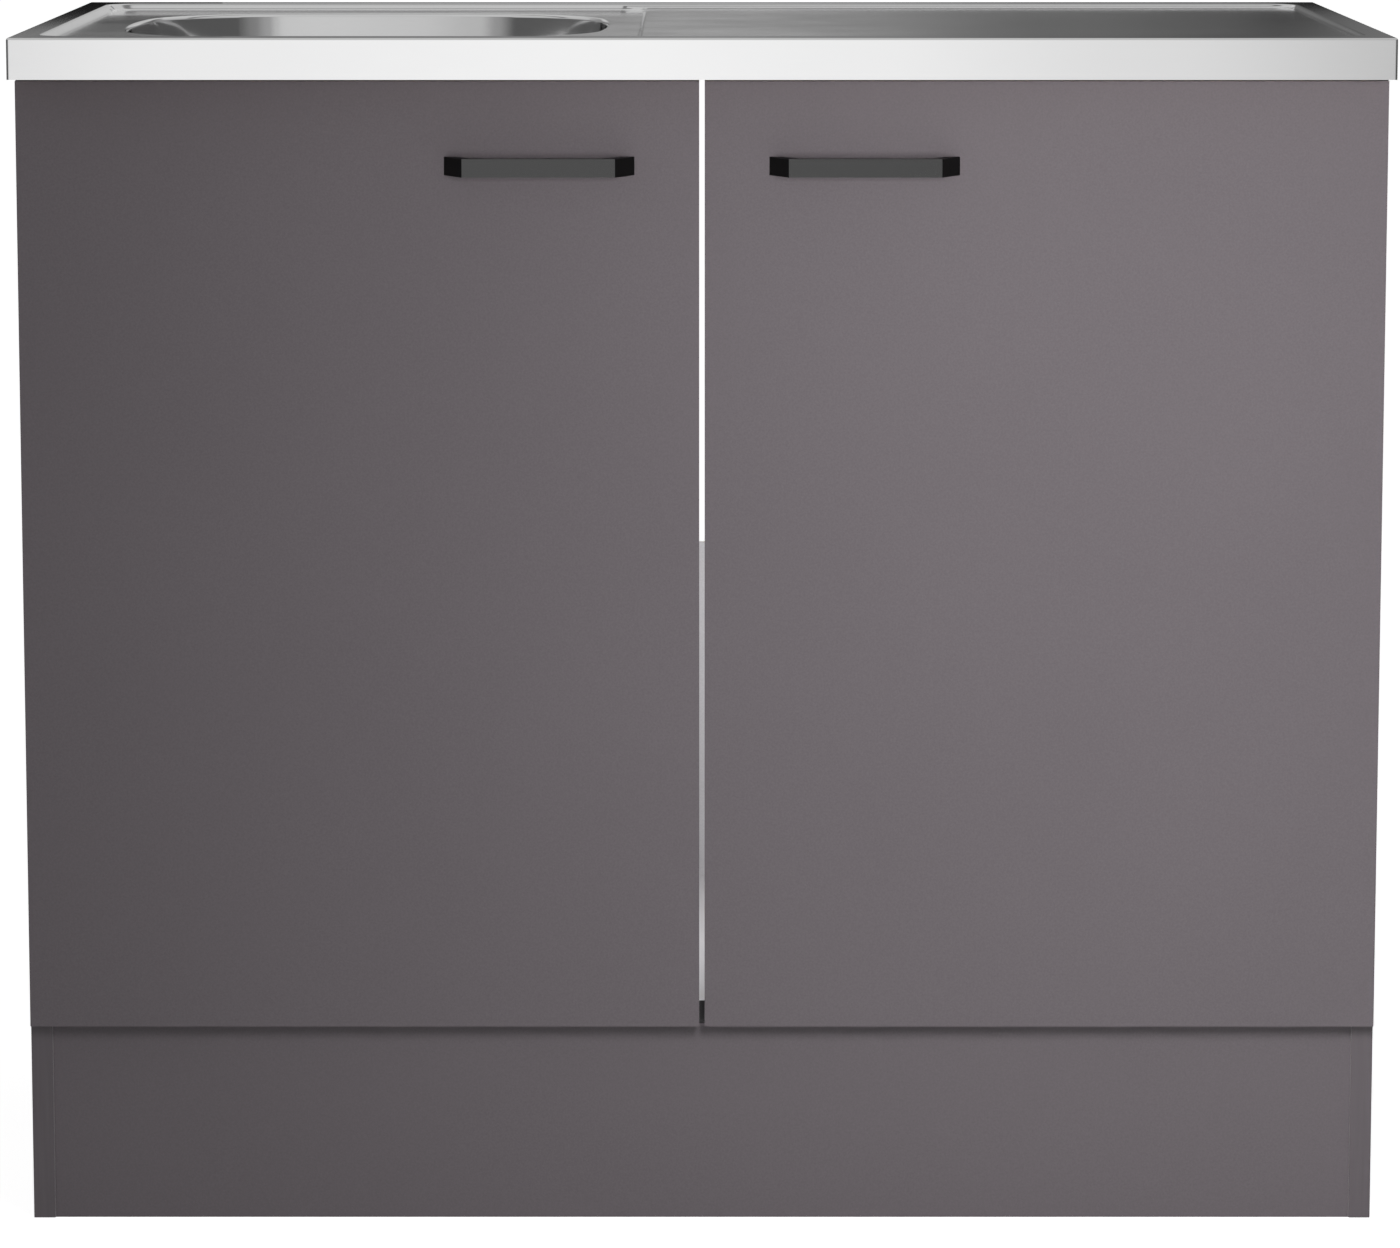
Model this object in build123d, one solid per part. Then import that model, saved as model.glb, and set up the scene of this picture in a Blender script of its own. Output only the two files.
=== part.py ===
"""Kitchen sink unit: a two-door base cabinet that carries a lay-on stainless sink.

Millimetres. The origin is on the floor under the middle of the unit, +X to the right as seen from
the front, +Y to the back and +Z up. Left-hand hardware is drawn and the right-hand set mirrors it.
"""

from build123d import *
import math
import os

# ---------------------------------------------------------------- driving dimensions
# The unit as a whole
unit_width = 1000
sink_depth = 600
front_overhang = 57
cabinet_height = 853
board = 16

# Plinth, bottom and back
plinth_height = 150
plinth_gap = 1.5
plinth_set_back = 2
back_thickness = 3
back_height = 294
back_set_in = 42.5
groove_depth = 6
groove_play = 0.2

# Doors
door_middle_gap = 4
door_thickness = 16
door_gap = 2
door_top_gap = 3
door_side_inset = 1.5

# Bow handles
handle_length = 138.5
handle_plateau = 112
handle_projection = 25
handle_height = 13.3
handle_bar = 6
handle_foot = 10.5
handle_edge_radius = 1.2
handle_from_free_edge = 116.3
handle_below_top = 61.5
handle_screw_radius = 2
handle_screw_bite = 4
handle_screw_head = 2.4
handle_screw_head_radius = 4.2
handle_hole_spare = 0.4

# Concealed hinges: u runs inward from the door's hinge edge, v rearward from the door's front
hinge_from_end = 100
pivot_u, pivot_v = 5, 4
arm_reach = 28.3
arm_rise = 8.4
pin_offset = 10.5
door_swing = 110
cup_edge_distance = 3
cup_radius = 17.5
cup_depth = 11.5
cup_wall = 0.8
cup_play = 0.1
flange_thickness = 1.2
flange_lip = 1
flange_length = 58
flange_width = 12
cup_screw_spacing = 45
cup_screw_offset = 9.5
link_width = 8
link_thickness = 1.8
link_knee_run = 9
link_knee_drop = 2.1
link_knee_radius = 3
link_eye_radius = 2.2
link_pin_radius = 1.3
link_pin_length = 10
arm_pin_radius = 1.2
arm_width = 12
arm_neck = 4.6
arm_length = 64
arm_body_start = 14
arm_height = 15
arm_play = 0.2
plate_from_edge = 37
plate_thickness = 4.5
plate_length = 40
plate_width = 16
plate_wing = 46
plate_wing_width = 12
plate_screw_spacing = 32

# Fasteners for wood
screw_radius = 1.75
screw_length = 13
screw_head_radius = 3.5
screw_head = 2
screw_play = 0.05

# Angle brackets
bracket_leg = 30
bracket_width = 18
bracket_thickness = 2
bracket_hole_from_bend = 18

# Cam fittings and dowels between the bottom panel and the sides
cam_inset = 24
cam_radius = 7.4
cam_height = 12.4
cam_driver_slot = 1
cam_driver_depth = 2
cam_bolt_radius = 3.4
cam_thread_radius = 2.5
cam_thread_length = 11
dowel_radius = 4
dowel_length = 30
dowel_in_side = 12
fitting_play = 0.1
cam_from_front = 50
cam_from_back = 80
dowel_from_cam = 40

# Door bumpers
bumper_radius = 4
bumper_clearance = 0.3
bumper_from_free_edge = 40
bumper_spacing = 300

# Sink deck
skirt_height = 30
sheet = 0.8
deck_corner_radius = 6
deck_edge_radius = 1.5
rim_front = 30
rim_side = 19
tray_depth = 4.7
drainer_depth = 2.7
tray_width = 436.5
slope_angle = 49
recess_radius = 25

# Sink bowl
bowl_width = 364
bowl_margin = 75
bowl_from_left = 245
bowl_depth = 150
bowl_side_radius = 800
bowl_corner_radius = 110
bowl_edge_radius = 8
bowl_lip = 4
bowl_taper = 4
bowl_floor_radius = 40

# Timber frame glued under the deck
batten_side_width = 15
batten_front_width = 28
rail_clearance = 2
middle_rail_width = 40
backing_thickness = 10
backing_margin = 8

# Basket strainer waste
waste_recess_radius = 59
waste_recess_depth = 4
waste_hole_radius = 45
flange_radius = 56.5
flange_sheet = 1.2
well_radius = 43
well_depth = 35
gasket_width = 9
gasket_set_in = 1
gasket_thickness = 1
lower_gasket_thickness = 2
body_flange_radius = 56
body_flange_thickness = 4
body_radius = 50
body_wall = 3
body_depth = 50
body_floor = 4
tail_length = 20
tail_radius = 23.9
tail_bore_radius = 19.5
waste_screw_radius = 3
waste_screw_head_radius = 6
waste_screw_head = 3
waste_screw_slot = 1.2
spider_width = 9
spider_height = 8
drain_hole_radius = 6
drain_hole_circle = 24
drain_hole_count = 6

# Lift-out basket
basket_radius = 40.5
basket_depth = 24
basket_wall = 1
basket_lip = 3.5
basket_hole_radius = 1.8
basket_rings = 3
basket_holes_per_ring = 6
basket_slot_count = 12
knob_radius = 8
knob_height = 6
knob_edge_radius = 1.5
stem_radius = 2.5

# Overflow
overflow_drop = 55
overflow_hole_radius = 17
overflow_cover_radius = 23
overflow_head_radius = 24
overflow_head_depth = 30
overflow_wall = 2
overflow_bore_radius = 15
overflow_pipe_radius = 10
overflow_pipe_wall = 1.5
overflow_bend_radius = 30
overflow_pipe_stop = 2
overflow_screw_radius = 2.5
overflow_slot_width = 3.4
overflow_slot_length = 10.2
overflow_slot_from_middle = 9.4
overflow_slot_count = 3

# Trap
pipe_radius = 20
pipe_wall = 2
pipe_play = 0.3
pipe_collar = 4
socket_depth = 26
socket_wall = 3.6
trap_inlet_length = 76
trap_bend_radius = 42
trap_bend_straight = 0.1
trap_down_leg = 46
trap_up_leg = 55
trap_elbow_radius = 30
trap_elbow_run = 10
nut_height = 20
nut_radius = 30
nut_shoulder = 4
nut_rib_count = 12
nut_rib_rise = 1
nut_rib_depth = 4
nut_rib_width = 5

# ---------------------------------------------------------------- planes worked out from them
half_width = unit_width / 2
unit_front = -sink_depth / 2
unit_back = sink_depth / 2
cabinet_front = unit_front + front_overhang
deck_top = cabinet_height + skirt_height
inner_x = half_width - board
bottom_top = plinth_height + board
back_front = unit_back - back_set_in - back_thickness
back_top = plinth_height + back_height
plinth_front = cabinet_front + plinth_set_back
plinth_back = plinth_front + board

door_back = cabinet_front - door_gap
door_front = door_back - door_thickness
door_outer_x = half_width - door_side_inset
door_free_x = -door_middle_gap / 2
door_bottom = plinth_height
door_top = cabinet_height - door_top_gap
hinge_heights = (door_bottom + hinge_from_end, door_top - hinge_from_end)

slope = math.tan(math.radians(slope_angle))
tray_level = deck_top - tray_depth
drainer_level = deck_top - drainer_depth
recess_left = -half_width + rim_side
recess_right = half_width - rim_side
tray_right = recess_left + tray_width + drainer_depth * slope

bowl_x = -half_width + bowl_from_left
bowl_length = sink_depth - 2 * (rim_front + bowl_margin)
bowl_floor = tray_level - bowl_depth
taper_run = math.tan(math.radians(bowl_taper))
bowl_hole_grow = bowl_edge_radius + bowl_lip
front_rail_back = -(bowl_length / 2 + bowl_hole_grow + rail_clearance)

waste_seat = bowl_floor - waste_recess_depth
flange_under = waste_seat + gasket_thickness
flange_top = flange_under + flange_sheet
well_floor = flange_top - well_depth
body_top = waste_seat - sheet - lower_gasket_thickness
body_bottom = body_top - body_depth
tail_bottom = body_bottom - tail_length

trap_socket_top = tail_bottom - trap_inlet_length + socket_depth
trap_socket_floor = trap_socket_top - socket_depth
trap_turn_z = trap_socket_floor - trap_down_leg
trap_leg_y = 2 * trap_bend_radius
trap_leg_top = trap_turn_z + trap_up_leg
arm_socket_floor = trap_leg_top + pipe_play
outlet_z = arm_socket_floor + trap_elbow_run + trap_elbow_radius

X_AXIS, Y_AXIS, Z_AXIS = Vector(1, 0, 0), Vector(0, 1, 0), Vector(0, 0, 1)


# ---------------------------------------------------------------- small shapes
def block(x0, x1, y0, y1, z0, z1):
    """A box between two corners."""
    return Pos((x0 + x1) / 2, (y0 + y1) / 2, (z0 + z1) / 2) * Box(x1 - x0, y1 - y0, z1 - z0)


def rod(radius, length, start, direction):
    """A cylinder that starts at a point and runs along a direction."""
    low = (Align.CENTER, Align.CENTER, Align.MIN)
    return Plane(origin=start, z_dir=direction) * Cylinder(radius, length, align=low)


def ring(outer, inner, z0, z1, x=0.0, y=0.0):
    """An upright ring or tube between two heights."""
    return rod(outer, z1 - z0, (x, y, z0), Z_AXIS) - rod(inner, z1 - z0, (x, y, z0), Z_AXIS)


def wood_screw(seat, direction):
    """A pan-head screw whose head sits on the seat point."""
    seat, direction = Vector(seat), Vector(direction)
    shank = rod(screw_radius, screw_length, seat, direction)
    head = rod(screw_head_radius, screw_head, seat - direction * screw_head, direction)
    slot = Plane(origin=seat - direction * screw_head, z_dir=direction) * Box(
        2 * screw_head_radius, screw_radius / 2, screw_head)
    return head + shank - slot


def screw_hole(seat, direction):
    """The pilot hole that the screw's shank turns into."""
    return rod(screw_radius + screw_play, screw_length + screw_play, seat, direction)


def group(solids):
    """Separate solids that share one node."""
    return Compound(children=list(solids))


def mirrored(shape):
    """The right-hand twin of a left-hand piece."""
    return mirror(shape, about=Plane.YZ)


def tube(points, bend_radius, outer, inner):
    """A bent pipe of straight runs joined by tangent arcs."""
    path = FilletPolyline(*points, radius=bend_radius)
    section = Plane(origin=path @ 0, z_dir=path % 0) * (Circle(outer) - Circle(inner))
    return sweep(section, path=path)


# ---------------------------------------------------------------- angle brackets
def bracket_seats(plane):
    """The two screw seats of a bracket, each with the direction its screw runs in."""
    along = bracket_hole_from_bend
    first = plane.from_local_coords(Vector(along, bracket_thickness, 0))
    second = plane.from_local_coords(Vector(bracket_thickness, along, 0))
    return [(first, -plane.y_dir), (second, -plane.x_dir)]


def bracket(plane):
    """A steel angle with one leg along the plane's x and one along its y."""
    leg, thick = bracket_leg, bracket_thickness
    outline = Polyline((0, 0), (leg, 0), (leg, thick), (thick, thick), (thick, leg), (0, leg), close=True)
    solid = plane * extrude(make_face(outline), amount=bracket_width / 2, both=True)
    for seat, direction in bracket_seats(plane):
        solid -= rod(screw_radius + screw_play, 2 * thick, seat - direction * thick / 2, direction)
    return solid


def bracket_planes():
    """Where the brackets sit: four hold the deck's frame, four hold the plinth."""
    planes = []
    for side in (-1, 1):
        wall = side * inner_x
        for y in ((cabinet_front + front_rail_back) / 2, unit_back - batten_front_width / 2):
            width_dir = -side * Y_AXIS
            planes.append(Plane(origin=(wall, y, cabinet_height), x_dir=-side * X_AXIS, z_dir=width_dir))
        planes.append(Plane(origin=(wall, plinth_back, plinth_height / 2),
                            x_dir=-side * X_AXIS, z_dir=-side * Z_AXIS))
        planes.append(Plane(origin=(side * inner_x / 2, plinth_back, plinth_height),
                            x_dir=-Z_AXIS, z_dir=X_AXIS))
    return planes


def bracket_holes():
    """Every pilot hole that the brackets' screws need."""
    holes = []
    for plane in bracket_planes():
        for seat, direction in bracket_seats(plane):
            holes.append(screw_hole(seat + direction * bracket_thickness, direction))
    return holes


def bracket_screws():
    screws = []
    for plane in bracket_planes():
        for seat, direction in bracket_seats(plane):
            screws.append(wood_screw(seat, direction))
    return screws


# ---------------------------------------------------------------- cam fittings and dowels
fitting_z = plinth_height + board / 2
cam_places = (cabinet_front + cam_from_front, unit_back - cam_from_back)
dowel_places = (cam_places[0] + dowel_from_cam, cam_places[1] - dowel_from_cam)


def cam_disc(y):
    """A cam in the underside of the bottom panel, with the slot that takes the bolt's end."""
    centre_x = -inner_x + cam_inset
    disc = rod(cam_radius, cam_height, (centre_x, y, plinth_height), Z_AXIS)
    slot = rod(cam_bolt_radius + fitting_play, cam_radius, (centre_x - cam_radius, y, fitting_z), X_AXIS)
    driver_slot = block(centre_x - cam_radius / 2, centre_x + cam_radius / 2, y - cam_driver_slot / 2,
                        y + cam_driver_slot / 2, plinth_height, plinth_height + cam_driver_depth)
    return disc - slot - driver_slot


def cam_bolt(y):
    """A bolt turned into the side panel; its shank ends inside the cam."""
    shank_end = -inner_x + cam_inset - fitting_play
    shank = rod(cam_bolt_radius, shank_end + inner_x, (-inner_x, y, fitting_z), X_AXIS)
    return shank + rod(cam_thread_radius, cam_thread_length, (-inner_x, y, fitting_z), -X_AXIS)


def dowel(y):
    start = (-inner_x - dowel_in_side, y, fitting_z)
    return rod(dowel_radius, dowel_length, start, X_AXIS)


def fitting_holes():
    """The left-hand holes for cams, bolts and dowels, in the side and in the bottom panel."""
    holes = []
    for y in cam_places:
        cam = (-inner_x + cam_inset, y, plinth_height)
        holes.append(rod(cam_radius + fitting_play, cam_height + fitting_play, cam, Z_AXIS))
        holes.append(rod(cam_bolt_radius + fitting_play, cam_inset, (-inner_x, y, fitting_z), X_AXIS))
        holes.append(rod(cam_thread_radius + fitting_play, cam_thread_length + fitting_play,
                         (-inner_x, y, fitting_z), -X_AXIS))
    for y in dowel_places:
        start = (-inner_x - dowel_in_side - fitting_play, y, fitting_z)
        holes.append(rod(dowel_radius + fitting_play, dowel_length + 2 * fitting_play, start, X_AXIS))
    return holes


# ---------------------------------------------------------------- concealed hinges
def hinge_point(u, v, z):
    """A point of the left door's hinge, from its edge, its front and the height."""
    return Vector(-door_outer_x + u, door_front + v, z)


def turned(radius, angle):
    """An offset from the door's pivot, in u and v."""
    angle = math.radians(angle)
    return pivot_u + radius * math.cos(angle), pivot_v + radius * math.sin(angle)


arm_u, arm_v = turned(arm_reach, arm_rise)
pin_u, pin_v = turned(pin_offset, arm_rise + door_swing / 2)
cup_u = cup_edge_distance + cup_radius
panel_u = board - door_side_inset
plate_u = panel_u + plate_thickness
edge_v = door_thickness + door_gap


def hinge_plane(z):
    """The plane in which a left hinge is drawn: x is u, y is v, the normal is up."""
    return Plane(origin=hinge_point(0, 0, z), x_dir=X_AXIS, z_dir=Z_AXIS)


def cup_screw_seats(z):
    seats = []
    for end in (-1, 1):
        height = z + end * cup_screw_spacing / 2
        seats.append(hinge_point(cup_u + cup_screw_offset, door_thickness + flange_thickness, height))
    return seats


def hinge_cup(z):
    """A pressed cup with its flange: it sinks into the door's inner face."""
    mouth = hinge_point(cup_u, door_thickness + flange_thickness, z)
    outside = rod(cup_radius - cup_play, cup_depth + flange_thickness, mouth, -Y_AXIS)
    flange_inner = hinge_point(cup_u + cup_screw_offset, door_thickness + flange_thickness / 2, z)
    flange = Pos(*flange_inner) * Box(flange_width, flange_thickness, flange_length)
    flange += rod(cup_radius + flange_lip, flange_thickness, mouth, -Y_AXIS)
    inside = rod(cup_radius - cup_play - cup_wall, cup_depth + flange_thickness - cup_wall, mouth, -Y_AXIS)
    solid = outside + flange - inside
    for seat in cup_screw_seats(z):
        above = seat + Y_AXIS * flange_thickness / 2
        solid -= rod(screw_radius + screw_play, 2 * flange_thickness, above, -Y_AXIS)
    return solid


def hinge_link(z):
    """A gooseneck link from the cup to the arm's pin; its knee dips into the cup and clears the rim."""
    pin, arm = Vector(pin_u, pin_v), Vector(arm_u, arm_v)
    along = (arm - pin).normalized()
    knee = pin + along * link_knee_run + Vector(along.Y, -along.X) * link_knee_drop
    spine = FilletPolyline((pin_u, pin_v), (knee.X, knee.Y), (arm_u, arm_v), radius=link_knee_radius)
    strap = trace(spine, line_width=link_thickness)
    strap += Pos(arm_u, arm_v) * Circle(link_eye_radius)
    solid = extrude(strap, amount=link_width / 2, both=True)
    solid += Pos(pin_u, pin_v) * Cylinder(link_pin_radius, link_pin_length)
    solid -= Pos(arm_u, arm_v) * Cylinder(arm_pin_radius + screw_play, link_width)
    return hinge_plane(z) * solid


def hinge_arm(z):
    """The arm that stands on the side panel's plate and reaches into the cup."""
    body_v0 = edge_v + arm_body_start
    neck = Pos(arm_u, (arm_v + body_v0) / 2) * Rectangle(arm_neck, body_v0 - arm_v + arm_neck)
    neck += Pos(arm_u, arm_v) * Circle(arm_neck / 2)
    neck -= Pos(arm_u, arm_v - arm_neck) * Rectangle(2 * arm_neck, 2 * arm_neck)
    neck += Pos(arm_u, arm_v) * Circle(arm_neck / 2)
    body = Pos(plate_u + arm_height / 2, body_v0 + (arm_length - arm_body_start) / 2) * Rectangle(
        arm_height, arm_length - arm_body_start)
    profile = neck + body
    solid = extrude(profile, amount=arm_width / 2, both=True)
    fork_v = (door_thickness - arm_neck / 2 + arm_v - 2 * arm_neck) / 2
    fork_length = door_thickness - arm_neck / 2 - arm_v + 2 * arm_neck
    fork = Pos(arm_u, fork_v) * Box(4 * arm_neck, fork_length, link_width + 2 * arm_play)
    solid -= fork
    solid += Pos(arm_u, arm_v) * Cylinder(arm_pin_radius, arm_width)
    return hinge_plane(z) * solid


def plate_screw_seats(z):
    seats = []
    for end in (-1, 1):
        height = z + end * plate_screw_spacing / 2
        seats.append(hinge_point(plate_u, edge_v + plate_from_edge, height))
    return seats


def hinge_plate(z):
    """The cross-shaped plate on the side panel."""
    centre = hinge_point(panel_u + plate_thickness / 2, edge_v + plate_from_edge, z)
    solid = Pos(*centre) * Box(plate_thickness, plate_length, plate_width)
    solid += Pos(*centre) * Box(plate_thickness, plate_wing_width, plate_wing)
    for seat in plate_screw_seats(z):
        solid -= rod(screw_radius + screw_play, 2 * plate_thickness, seat + X_AXIS, -X_AXIS)
    return solid


def hinge_holes_in_door():
    holes = []
    for z in hinge_heights:
        mouth = hinge_point(cup_u, door_thickness, z)
        holes.append(rod(cup_radius, cup_depth + cup_play, mouth, -Y_AXIS))
        holes += [screw_hole(seat, -Y_AXIS) for seat in cup_screw_seats(z)]
    return holes


def hinge_holes_in_side():
    holes = []
    for z in hinge_heights:
        holes += [screw_hole(seat, -X_AXIS) for seat in plate_screw_seats(z)]
    return holes


# ---------------------------------------------------------------- cabinet
def side_panel():
    panel = block(-half_width, -inner_x, cabinet_front, unit_back, 0, cabinet_height)
    groove = back_groove(-inner_x - groove_depth, -inner_x)
    return cut(panel, [groove] + fitting_holes() + bracket_holes() + hinge_holes_in_side())


def back_groove(x0, x1):
    """The slot that holds the back panel, wide enough for its play."""
    return block(x0, x1, back_front - groove_play, back_front + back_thickness + groove_play,
                 bottom_top - groove_depth, back_top)


def cut(solid, tools):
    """Cuts only with the tools whose boxes reach the solid."""
    bounds = solid.bounding_box()
    for tool in tools:
        reach = tool.bounding_box()
        apart = (reach.max.X < bounds.min.X or reach.min.X > bounds.max.X
                 or reach.max.Y < bounds.min.Y or reach.min.Y > bounds.max.Y
                 or reach.max.Z < bounds.min.Z or reach.min.Z > bounds.max.Z)
        if not apart:
            solid -= tool
    return solid


def bottom_panel():
    panel = block(-inner_x, inner_x, cabinet_front, unit_back, plinth_height, bottom_top)
    tools = fitting_holes()
    tools += [mirrored(tool) for tool in tools]
    return cut(panel, tools + [back_groove(-inner_x, inner_x)] + bracket_holes())


def back_panel():
    reach = inner_x + groove_depth - groove_play
    return block(-reach, reach, back_front, back_front + back_thickness,
                 bottom_top - groove_depth, back_top)


def plinth_panel():
    panel = block(-inner_x, inner_x, plinth_front, plinth_back, 0, plinth_height - plinth_gap)
    return cut(panel, bracket_holes())


# ---------------------------------------------------------------- doors and handles
handle_x = door_free_x - handle_from_free_edge
handle_z = door_top - handle_below_top
handle_hole_x = (handle_length - handle_foot) / 2


def handle_seats():
    """Where the handle's screws sit on the inner face of the door."""
    return [Vector(handle_x + end * handle_hole_x, door_back, handle_z) for end in (-1, 1)]


def door():
    panel = block(-door_outer_x, door_free_x, door_front, door_back, door_bottom, door_top)
    tools = hinge_holes_in_door()
    for seat in handle_seats():
        tools.append(rod(handle_screw_radius + screw_play, door_thickness, seat, -Y_AXIS))
    return cut(panel, tools)


def handle():
    """A flat bow: sloping legs, a straight grip and feet flush on the door."""
    half, grip = handle_length / 2, handle_plateau / 2
    run = (half - grip) / handle_projection
    inner_level = handle_projection - handle_bar
    inner_grip = half - handle_foot - run * inner_level
    outline = Polyline((-half, 0), (-grip, -handle_projection), (grip, -handle_projection), (half, 0),
                       (half - handle_foot, 0), (inner_grip, -inner_level), (-inner_grip, -inner_level),
                       (handle_foot - half, 0), close=True)
    bar = extrude(make_face(outline), amount=handle_height / 2, both=True)
    inner = bar.edges().filter_by(Axis.Z).sort_by(Axis.Y)
    bends = [edge for edge in inner if edge.center().Y < -inner_level / 2]
    bar = fillet(bends, handle_edge_radius)
    solid = Pos(handle_x, door_front, handle_z) * bar
    hole_depth = door_thickness + handle_screw_bite + handle_hole_spare
    for seat in handle_seats():
        solid -= rod(handle_screw_radius + screw_play, hole_depth, seat, -Y_AXIS)
    return solid


def handle_screw(seat):
    shank = rod(handle_screw_radius, door_thickness + handle_screw_bite, seat, -Y_AXIS)
    head = rod(handle_screw_head_radius, handle_screw_head, seat, Y_AXIS)
    driver = rod(handle_screw_radius / 2, handle_screw_head, seat + Y_AXIS * handle_screw_head / 2, Y_AXIS)
    return shank + head - driver


def bumpers():
    """Soft discs that meet the bottom panel's front edge."""
    thickness = door_gap - bumper_clearance
    discs = []
    for index in range(2):
        x = door_free_x - bumper_from_free_edge - index * bumper_spacing
        discs.append(rod(bumper_radius, thickness, (x, door_back, plinth_height + board / 2), Y_AXIS))
    return discs


# ---------------------------------------------------------------- sink
def recess(x0, x1, depth, skin=0.0):
    """A shallow pressed recess in the deck, or its underside where the skin is the sheet."""
    angle = math.radians(slope_angle)
    grow = skin * (1 - math.sin(angle)) / math.cos(angle)
    run = depth * slope
    width, length = x1 - x0 + 2 * grow, sink_depth - 2 * rim_front + 2 * grow
    radius = recess_radius + grow
    middle, upper_z = (x0 + x1) / 2, deck_top - skin
    upper = Pos(middle, 0, upper_z) * RectangleRounded(width, length, radius)
    lower = Pos(middle, 0, upper_z - depth) * RectangleRounded(
        width - 2 * run, length - 2 * run, radius - run)
    return loft([upper.face(), lower.face()], ruled=True)


def deck_block(skin):
    """The deck's outer shape, or the hollow under it where the skin is the sheet."""
    solid = block(-half_width + skin, half_width - skin, unit_front + skin, unit_back - skin,
                  cabinet_height, deck_top - skin)
    solid = fillet(solid.edges().filter_by(Axis.Z), deck_corner_radius - skin)
    solid = fillet(solid.edges().group_by(Axis.Z)[-1], deck_edge_radius - skin)
    solid -= recess(recess_left, recess_right, drainer_depth, skin)
    return solid - recess(recess_left, tray_right, tray_depth, skin)


def bowl_outline(grow, z):
    """The bowl's plan: four bowed sides with rounded corners, grown or shrunk evenly."""
    in_x = bowl_side_radius - bowl_width / 2
    in_y = bowl_side_radius - bowl_length / 2
    radius = bowl_side_radius + grow
    plan = Pos(-in_x, 0) * Circle(radius) & Pos(in_x, 0) * Circle(radius)
    plan &= Pos(0, -in_y) * Circle(radius)
    plan &= Pos(0, in_y) * Circle(radius)
    plan = fillet(plan.vertices(), bowl_corner_radius + grow)
    return Pos(bowl_x, 0, z) * plan


def bowl_space(skin):
    """The hollow of the bowl, or its outside where the skin is the sheet."""
    sideways = skin / math.cos(math.radians(bowl_taper))
    low, high = bowl_floor - skin, tray_level + bowl_lip
    upper = bowl_outline(sideways + (high - tray_level) * taper_run, high)
    lower = bowl_outline(sideways - (tray_level - low) * taper_run, low)
    solid = loft([upper.face(), lower.face()], ruled=True)
    solid = fillet(solid.edges().group_by(Axis.Z)[0], bowl_floor_radius + skin)
    margin = bowl_length
    slab = block(bowl_x - margin, bowl_x + margin, -margin, margin, tray_level - skin, high)
    solid += slab
    level = tray_level - skin
    rolled = [edge for edge in solid.edges().filter_by(GeomType.LINE, reverse=True)
              if abs(edge.center().Z - level) < sheet / 10]
    solid = fillet(rolled, bowl_edge_radius - skin)
    seat = waste_seat - skin
    return solid + rod(waste_recess_radius + skin, low - seat + skin, (bowl_x, 0, seat), Z_AXIS)


def sink_deck():
    deck = deck_block(0.0) - deck_block(sheet)
    hole = extrude(bowl_outline(bowl_hole_grow, tray_level - bowl_lip), amount=2 * bowl_lip)
    return deck - hole


def overflow_plane():
    """On the bowl's rear wall, facing out of the bowl to the back."""
    z = tray_level - overflow_drop
    y = bowl_length / 2 - overflow_drop * taper_run
    angle = math.radians(bowl_taper)
    return Plane(origin=(bowl_x, y, z), x_dir=X_AXIS, z_dir=(0, math.cos(angle), -math.sin(angle)))


def sink_bowl():
    bowl = bowl_space(sheet) - bowl_space(0.0)
    keep = extrude(bowl_outline(bowl_hole_grow, waste_seat - 2 * sheet),
                   amount=tray_level - waste_seat + 2 * sheet)
    bowl = bowl & keep
    below = (bowl_x, 0, waste_seat - waste_recess_depth)
    bowl -= rod(waste_hole_radius, 4 * waste_recess_depth, below, Z_AXIS)
    wall = overflow_plane()
    return bowl - rod(overflow_hole_radius, 4 * sheet, wall.origin - wall.z_dir * 2 * sheet, wall.z_dir)


# ---------------------------------------------------------------- frame under the deck
batten_outer_x = half_width - deck_edge_radius
batten_inner_x = batten_outer_x - batten_side_width
batten_top = deck_top - sheet
rail_top = tray_level - sheet
middle_rail_x = bowl_x + bowl_width / 2 + bowl_hole_grow + backing_margin


def side_batten():
    half_length = sink_depth / 2 - deck_corner_radius
    return block(-batten_outer_x, -batten_inner_x, -half_length, half_length, cabinet_height, batten_top)


def edge_batten(end):
    """A batten under the front rim (end = -1) or the rear rim (end = 1)."""
    outer = end * (sink_depth / 2 - deck_edge_radius)
    inner = outer - end * (batten_front_width - deck_edge_radius)
    solid = block(-batten_inner_x, batten_inner_x, min(outer, inner), max(outer, inner),
                  cabinet_height, batten_top)
    return cut(solid, bracket_holes())


def front_rail():
    """A cross rail over the doors, between the side battens and under the tray."""
    solid = block(-batten_inner_x, batten_inner_x, cabinet_front, front_rail_back, cabinet_height, rail_top)
    return cut(solid, bracket_holes())


def middle_rail():
    """A rail from front to back beside the bowl, under the step in the deck."""
    rear = unit_back - batten_front_width
    return block(middle_rail_x, middle_rail_x + middle_rail_width, front_rail_back, rear,
                 cabinet_height, rail_top)


def backing_board():
    """A board glued under the drainer, against flexing and drumming."""
    top = drainer_level - sheet
    front = front_rail_back + backing_margin
    return block(middle_rail_x + middle_rail_width + backing_margin, recess_right - backing_margin,
                 front, unit_back - rim_front - backing_margin, top - backing_thickness, top)


# ---------------------------------------------------------------- waste
def around_drain(radius, count, hole_radius, z0, z1, phase=0.0):
    """Round holes on a circle about the drain's axis."""
    holes = []
    for index in range(count):
        angle = 2 * math.pi * (index + phase) / count
        centre = (bowl_x + radius * math.cos(angle), radius * math.sin(angle), z0)
        holes.append(rod(hole_radius, z1 - z0, centre, Z_AXIS))
    return holes


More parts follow.
